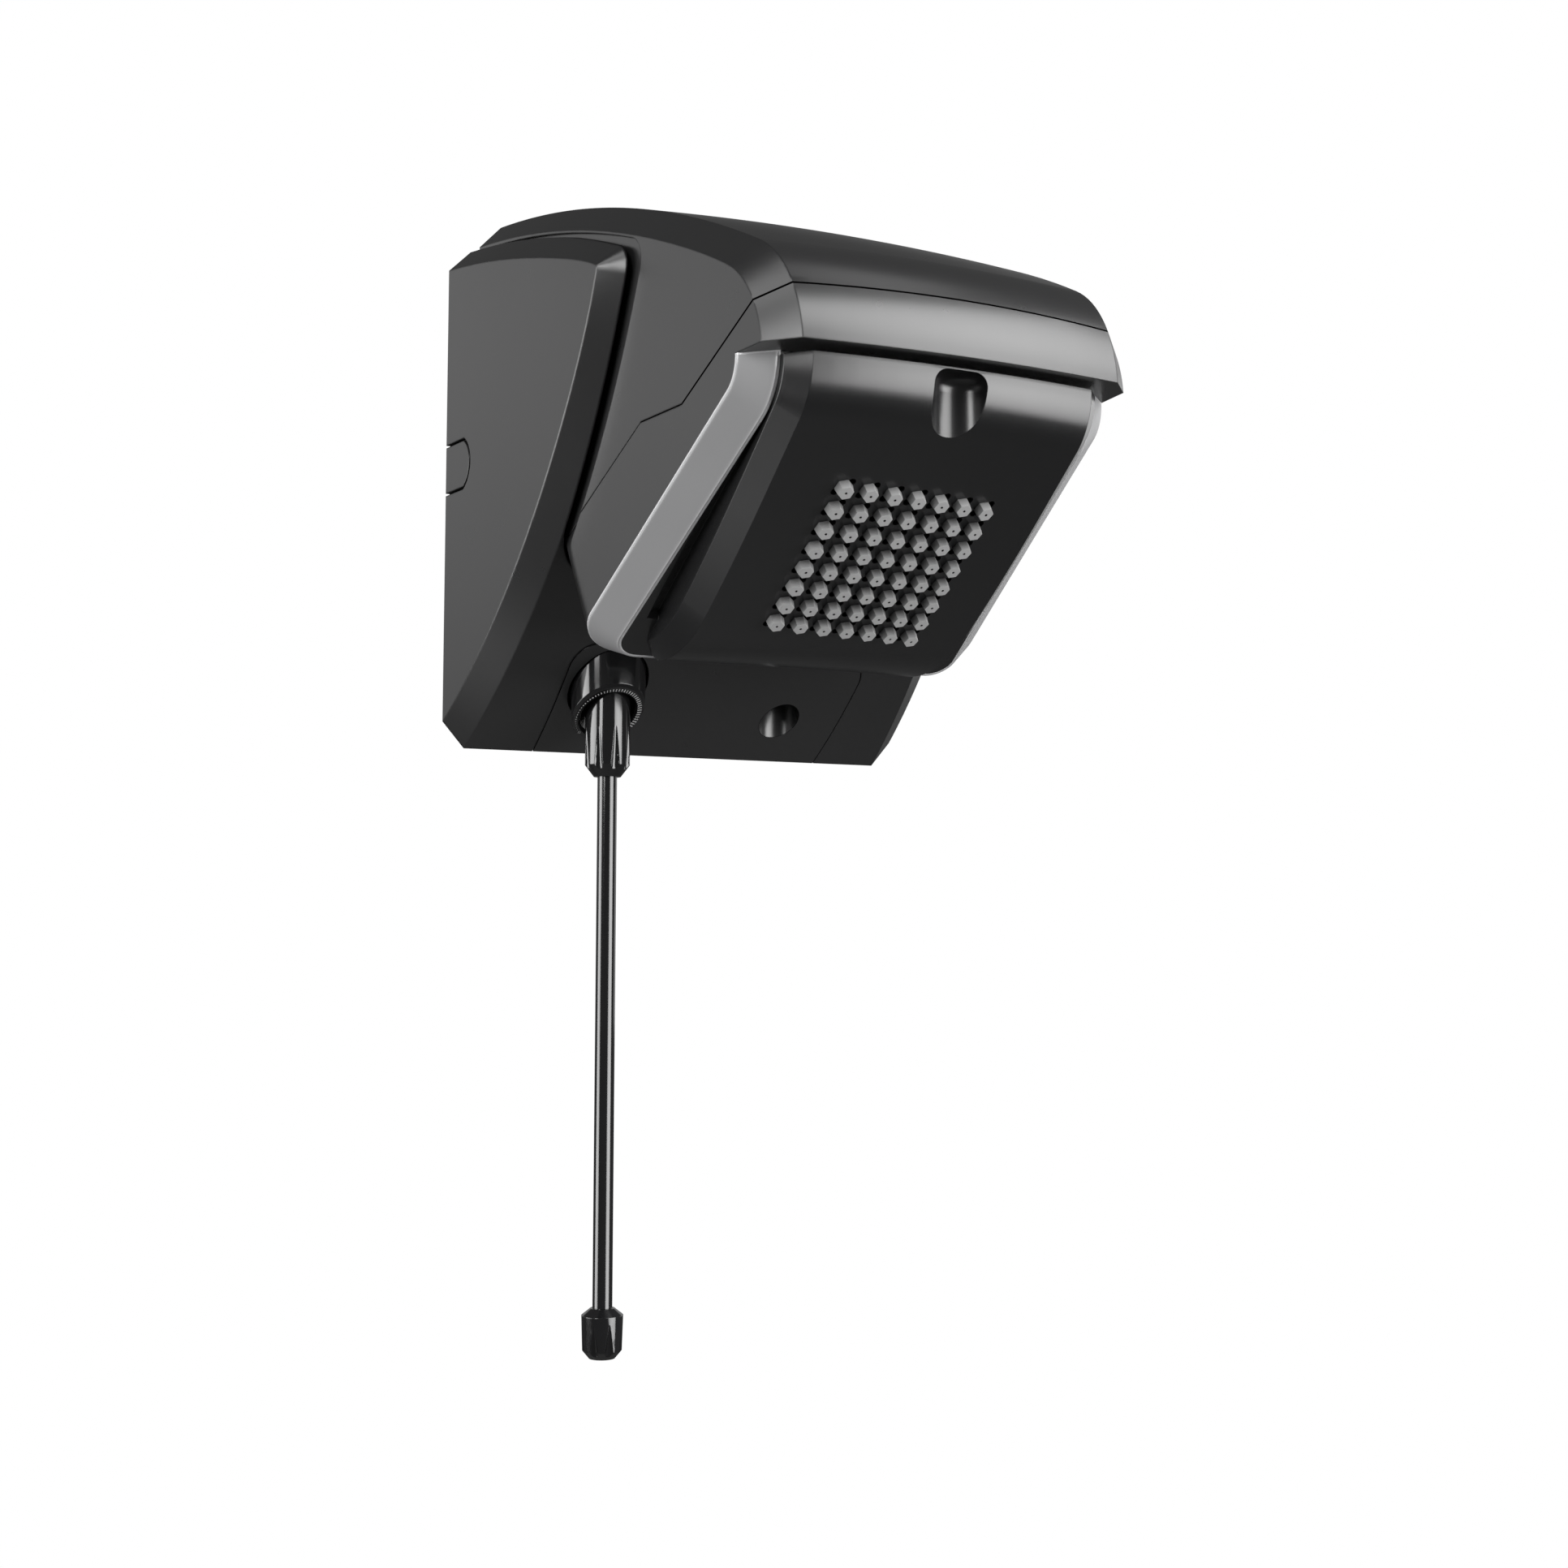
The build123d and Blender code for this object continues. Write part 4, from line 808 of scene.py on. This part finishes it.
@dataclass
class ControlRod(SubAssembly):
    """Hanging rod with its grips, the collar with its scale, and what the rod turns."""

    title: ClassVar[str] = "control rod"
    nodes: ClassVar[Mapping[str, Look]] = {
        "dial_collar": Look.GLOSS,
        "upper_grip": Look.GLOSS,
        "control_rod": Look.GLOSS,
        "lower_knob": Look.GLOSS,
        "pot_bracket": Look.INNER,
        "potentiometer": Look.SINK,
        "pot_shaft": Look.SINK,
        "bracket_screws": Look.STEEL,
    }
    centre: Place = (-40.3, -30.6, -76.0)
    slope: float = 34.5
    scale_radius: float = 11.4
    ring_angle: float = 132.0
    ring_radius: float = 0.55
    ring_bore: float = 0.3
    ring_corners: int = 16
    first_angle: float = 140.0
    last_angle: float = 382.0
    marks: int = 46
    dot_share: float = 0.34
    dot_least: float = 0.13
    dot_most: float = 0.3
    dot_corners: int = 8
    bar_least: float = 0.7
    bar_most: float = 1.7
    bar_width: float = 0.42
    bar_taper: float = 0.3
    print_height: float = 0.04

    def on_face(self, along: float, out: float, angle: float, height: float) -> Vector:
        """Find a point on the collar's sloping end.

        Args:
            along: Distance round the scale from a mark's middle.
            out: Distance outward from the scale's circle.
            angle: The mark's direction round the rod.
            height: Height over the collar's end.

        Returns:
            The point, in metres.
        """
        turn = math.radians(angle)
        radius = self.scale_radius + out
        x = radius * math.cos(turn) - along * math.sin(turn)
        y = radius * math.sin(turn) + along * math.cos(turn)
        z = -y * math.tan(math.radians(self.slope)) - height
        return (Vector(self.centre) + Vector((x, y, z))) * MM

    def add_mark(self, mesh: bmesh.types.BMesh, outline: Sequence[tuple[float, float]], angle: float) -> None:
        """Add one printed mark as a thin slab.

        Args:
            mesh: The scale's mesh.
            outline: The mark's corners, along and out from its middle.
            angle: The mark's direction round the rod.
        """
        low = [mesh.verts.new(self.on_face(a, o, angle, 0.0)) for a, o in outline]
        high = [mesh.verts.new(self.on_face(a, o, angle, self.print_height)) for a, o in outline]
        mesh.faces.new(low)
        mesh.faces.new(high)
        join_loops(mesh, low, high)

    def add_ring(self, mesh: bmesh.types.BMesh) -> None:
        """Add the small ring at the cold end of the scale.

        Args:
            mesh: The scale's mesh.
        """
        loops = []
        for radius, height in (
            (self.ring_radius, 0.0),
            (self.ring_radius, self.print_height),
            (self.ring_bore, self.print_height),
            (self.ring_bore, 0.0),
        ):
            outline = circle(radius, self.ring_corners)
            loops.append([mesh.verts.new(self.on_face(a, o, self.ring_angle, height)) for a, o in outline])
        for near, far in zip(loops, loops[1:] + loops[:1]):
            join_loops(mesh, near, far)

    def mark_outline(self, share: float) -> list[tuple[float, float]]:
        """Shape one mark: the first ones are growing dots, the others growing bars.

        Args:
            share: The mark's place along the scale, from 0 to 1.

        Returns:
            The mark's corners, along and out from its middle.
        """
        if share < self.dot_share:
            radius = self.dot_least + (self.dot_most - self.dot_least) * share / self.dot_share
            return circle(radius, self.dot_corners)
        grown = (share - self.dot_share) / (1 - self.dot_share)
        tall = (self.bar_least + (self.bar_most - self.bar_least) * grown) / 2
        wide = self.bar_width * (1 - self.bar_taper + self.bar_taper * grown) / 2
        return [(-wide, -tall), (wide, -tall), (wide, tall), (-wide, tall)]

    def build_scale(self, ink: bpy.types.Material) -> bpy.types.Object:
        """Print the scale on the collar.

        Args:
            ink: The marks' material.

        Returns:
            The scale.
        """
        mesh = bmesh.new()
        self.add_ring(mesh)
        for mark in range(self.marks):
            share = mark / (self.marks - 1)
            angle = self.first_angle + (self.last_angle - self.first_angle) * share
            self.add_mark(mesh, self.mark_outline(share), angle)
        bmesh.ops.recalc_face_normals(mesh, faces=mesh.faces)
        piece = as_object(mesh, "collar_scale", ink)
        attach(piece, Body.SHOWER.value)
        return piece

    def build(self, materials: Materials) -> list[str]:
        """Dress the nodes and print the scale."""
        return self.dress(materials) + [self.build_scale(materials[Look.PRINT]).name]


@dataclass
class FlowSwitch(SubAssembly):
    """Water inlet, and the switch that closes when water flows."""

    title: ClassVar[str] = "flow switch"
    nodes: ClassVar[Mapping[str, Look]] = {
        "inlet_fitting": Look.BRASS,
        "inlet_seal": Look.SEAL,
        "inlet_filter": Look.INNER,
        "valve_body": Look.INNER,
        "flow_diaphragm": Look.SEAL,
        "switch_housing": Look.INNER,
        "switch_plunger": Look.INNER,
        "contact_bridge": Look.BRASS,
        "fixed_contacts": Look.BRASS,
        "return_spring": Look.STEEL,
        "valve_screws": Look.STEEL,
    }
    spring_radius: float = 6.4
    spring_wire: float = 0.6
    spring_turns: int = 4
    turn_steps: int = 40
    wire_corners: int = 8
    travel: float = 3.0

    def build_spring(self, steel: bpy.types.Material) -> bpy.types.Object:
        """Wind the return spring.

        Args:
            steel: The spring's material.

        Returns:
            The spring, in place of the rigid one.
        """
        low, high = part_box("return_spring")
        wire = self.spring_wire * MM
        back, length = high[1], high[1] - low[1]
        last = self.spring_turns * self.turn_steps
        section = circle(wire, self.wire_corners)
        mesh = bmesh.new()
        rings = []
        for step in range(last + 1):
            turn = math.tau * step / self.turn_steps
            out = Vector((math.cos(turn), 0.0, math.sin(turn)))
            depth = back - wire - (length - 2 * wire) * step / last
            centre = out * self.spring_radius * MM + Vector((0.0, depth, 0.0))
            rings.append([mesh.verts.new(centre + out * o + Vector((0.0, a, 0.0))) for o, a in section])
        for first, second in zip(rings, rings[1:]):
            join_loops(mesh, first, second)
        for end in (rings[0], rings[-1]):
            mesh.faces.new(end)
        bmesh.ops.recalc_face_normals(mesh, faces=mesh.faces)
        piece = as_object(mesh, "working_spring", steel)
        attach(piece, Body.SHOWER.value)
        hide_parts("return_spring")
        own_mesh(piece)
        return piece

    def build(self, materials: Materials) -> list[str]:
        """Dress the nodes and wind the spring."""
        return self.dress(materials) + [self.build_spring(materials[Look.STEEL]).name]


@dataclass
class Heater(SubAssembly):
    """Heating chamber with its lid, element and feed pipe."""

    title: ClassVar[str] = "heater"
    nodes: ClassVar[Mapping[str, Look]] = {
        "feed_pipe": Look.INNER,
        "heating_chamber": Look.INNER,
        "chamber_gasket": Look.SEAL,
        "chamber_lid": Look.INNER,
        "lid_screws": Look.STEEL,
        "element_terminals": Look.BRASS,
        "coil_carrier": Look.CERAMIC,
        "heating_coil": Look.STEEL,
    }


@dataclass
class PowerBoard(SubAssembly):
    """Circuit board with its heat sink, and the supply terminals."""

    title: ClassVar[str] = "power board"
    nodes: ClassVar[Mapping[str, Look]] = {
        "circuit_board": Look.BOARD,
        "board_screws": Look.STEEL,
        "heat_sink": Look.SINK,
        "triac": Look.GLOSS,
        "terminal_block": Look.INNER,
        "terminal_screws": Look.STEEL,
    }


@dataclass(frozen=True)
class Softbox:
    """One soft studio lamp aimed at the shower; its azimuth goes round from the front to +X."""

    name: str
    azimuth: float
    elevation: float
    width: float
    height: float
    glow: float
    distance: float = 1.8
    spread: float = 100.0

    def build(self, aim: Vector) -> bpy.types.Object:
        """Add the lamp.

        Args:
            aim: The point that it faces.

        Returns:
            The lamp's object.
        """
        around, above = math.radians(self.azimuth), math.radians(self.elevation)
        level = math.cos(above)
        away = Vector((level * math.sin(around), -level * math.cos(around), math.sin(above)))
        # A narrow spread brightens the lamp's face by this gain; glow is its brightness head-on.
        half = math.radians(self.spread) / 2
        gain = math.tan(half) / (math.tan(half) - half)
        lamp = bpy.data.lights.new(self.name, "AREA")
        lamp.shape = "RECTANGLE"
        lamp.size = self.width
        lamp.size_y = self.height
        lamp.spread = 2 * half
        lamp.energy = self.glow * math.pi * self.width * self.height / gain
        box = bpy.data.objects.new(self.name, lamp)
        box.location = aim + away * self.distance
        box.rotation_euler = (-away).to_track_quat("-Z", "Y").to_euler()
        box.visible_camera = False
        bpy.context.collection.objects.link(box)
        return box


@dataclass
class Studio:
    """Pale floor, white surroundings under a dark ceiling, soft lamps and the camera."""

    floor_height: float = -2.1
    floor_radius: float = 2.3
    floor_corners: int = 96
    ambient: float = 0.08
    behind_span: Span = (-0.1, 0.5)
    backdrop_span: Span = (-0.15, 0.4)
    backdrop_share: float = 0.7
    ceiling_span: Span = (0.3, 0.48)
    aim: Place = (0.0, -0.15, 0.0)
    camera_place: Place = (-0.3135, -0.7242, -0.1515)
    camera_near: float = 0.01
    yaw: float = 26.358
    pitch: float = 3.931
    roll: float = 0.199
    lens: float = 47.864
    sensor: float = 36.0
    lamps: tuple[Softbox, ...] = (
        Softbox("left_box", -104.0, -3.0, 1.2, 1.1, 6.0),
        Softbox("left_front_box", -59.0, 21.0, 0.5, 1.3, 7.5),
        Softbox("plate_side_box", -107.0, -38.0, 0.4, 0.35, 0.9),
        Softbox("visor_box", 42.0, 41.0, 1.7, 1.1, 5.8),
        Softbox("knee_box", 36.0, -1.5, 1.5, 1.55, 6.5),
        Softbox("hood_box", -88.0, 50.0, 0.7, 0.6, 2.2),
        Softbox("hood_front_box", 79.0, 68.0, 0.6, 0.4, 0.9),
        Softbox("right_box", 112.0, 4.0, 1.2, 0.8, 0.9),
    )

    def build_world(self) -> None:
        """Make the surroundings white; reflections show that behind the shower, under a dark ceiling."""
        shade = Shade(bpy.data.worlds.new("white_studio"))
        path = shade.node("ShaderNodeLightPath").outputs
        seen = Sock(shade, path["Is Camera Ray"])
        mirrored = Sock(shade, path["Is Glossy Ray"]).most(Sock(shade, path["Is Transmission Ray"]))
        direction = shade.node("ShaderNodeTexCoord").outputs["Generated"]
        parts = shade.node("ShaderNodeSeparateXYZ", {}, {0: direction}).outputs
        behind = Sock(shade, parts["Y"]).step(*self.behind_span)
        rise = Sock(shade, parts["Z"])
        backdrop = rise.step(*self.backdrop_span) * self.backdrop_share
        below_ceiling = 1.0 - rise.step(*self.ceiling_span)
        white = seen.most(mirrored * behind * backdrop * below_ceiling)
        background = shade.tree.nodes["Background"]
        shade.feed(background.inputs["Color"], (1.0, 1.0, 1.0))
        shade.feed(background.inputs["Strength"], self.ambient + (1 - self.ambient) * white)
        bpy.context.scene.world = shade.owner

    def build_floor(self) -> bpy.types.Object:
        """Lay the pale round floor.

        Returns:
            The floor.
        """
        mesh = bmesh.new()
        bmesh.ops.create_circle(mesh, cap_ends=True, segments=self.floor_corners, radius=self.floor_radius)
        floor = as_object(mesh, "studio_floor", PALE_FLOOR.make("pale_floor"))
        floor.location = (0.0, 0.0, self.floor_height)
        return floor

    def build_camera(self) -> bpy.types.Object:
        """Stand the camera where the photo was taken.

        Returns:
            The camera.
        """
        yaw, pitch, roll = (math.radians(v) for v in (self.yaw, self.pitch, self.roll))
        ahead = Vector((math.cos(pitch) * math.sin(yaw), math.cos(pitch) * math.cos(yaw), math.sin(pitch)))
        level = Vector((math.cos(yaw), -math.sin(yaw), 0.0))
        above = level.cross(ahead)
        right = math.cos(roll) * level + math.sin(roll) * above
        up = math.cos(roll) * above - math.sin(roll) * level
        data = bpy.data.cameras.new("photo_camera")
        data.lens = self.lens
        data.sensor_width = self.sensor
        data.clip_start = self.camera_near
        camera = bpy.data.objects.new("photo_camera", data)
        turn = Matrix((right, up, -ahead)).transposed().to_4x4()
        camera.matrix_world = Matrix.Translation(self.camera_place) @ turn
        bpy.context.collection.objects.link(camera)
        bpy.context.scene.camera = camera
        return camera

    def build(self) -> None:
        """Build the whole studio."""
        bpy.context.scene.view_settings.view_transform = "Standard"
        self.build_world()
        self.build_floor()
        for lamp in self.lamps:
            lamp.build(Vector(self.aim))
        self.build_camera()


def main() -> None:
    """Build the studio and dress the shower, one sub-assembly after another."""
    logging.basicConfig(level=logging.INFO, format="%(message)s")
    Studio().build()
    materials = {look: finish.make(look.value) for look, finish in FINISHES.items()}
    done: set[str] = set()
    parts = (WallBase(), HeadShell(), SprayHead(), ControlRod(), FlowSwitch(), Heater(), PowerBoard())
    for part in parts:
        for name in part.build(materials):
            done.add(name)
            LOG.info("%s: %s", part.title, name)
    left = set(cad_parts) - done
    if left:
        raise ValueError(f"nodes without a finish: {sorted(left)}")


if __name__ == "__main__":
    main()
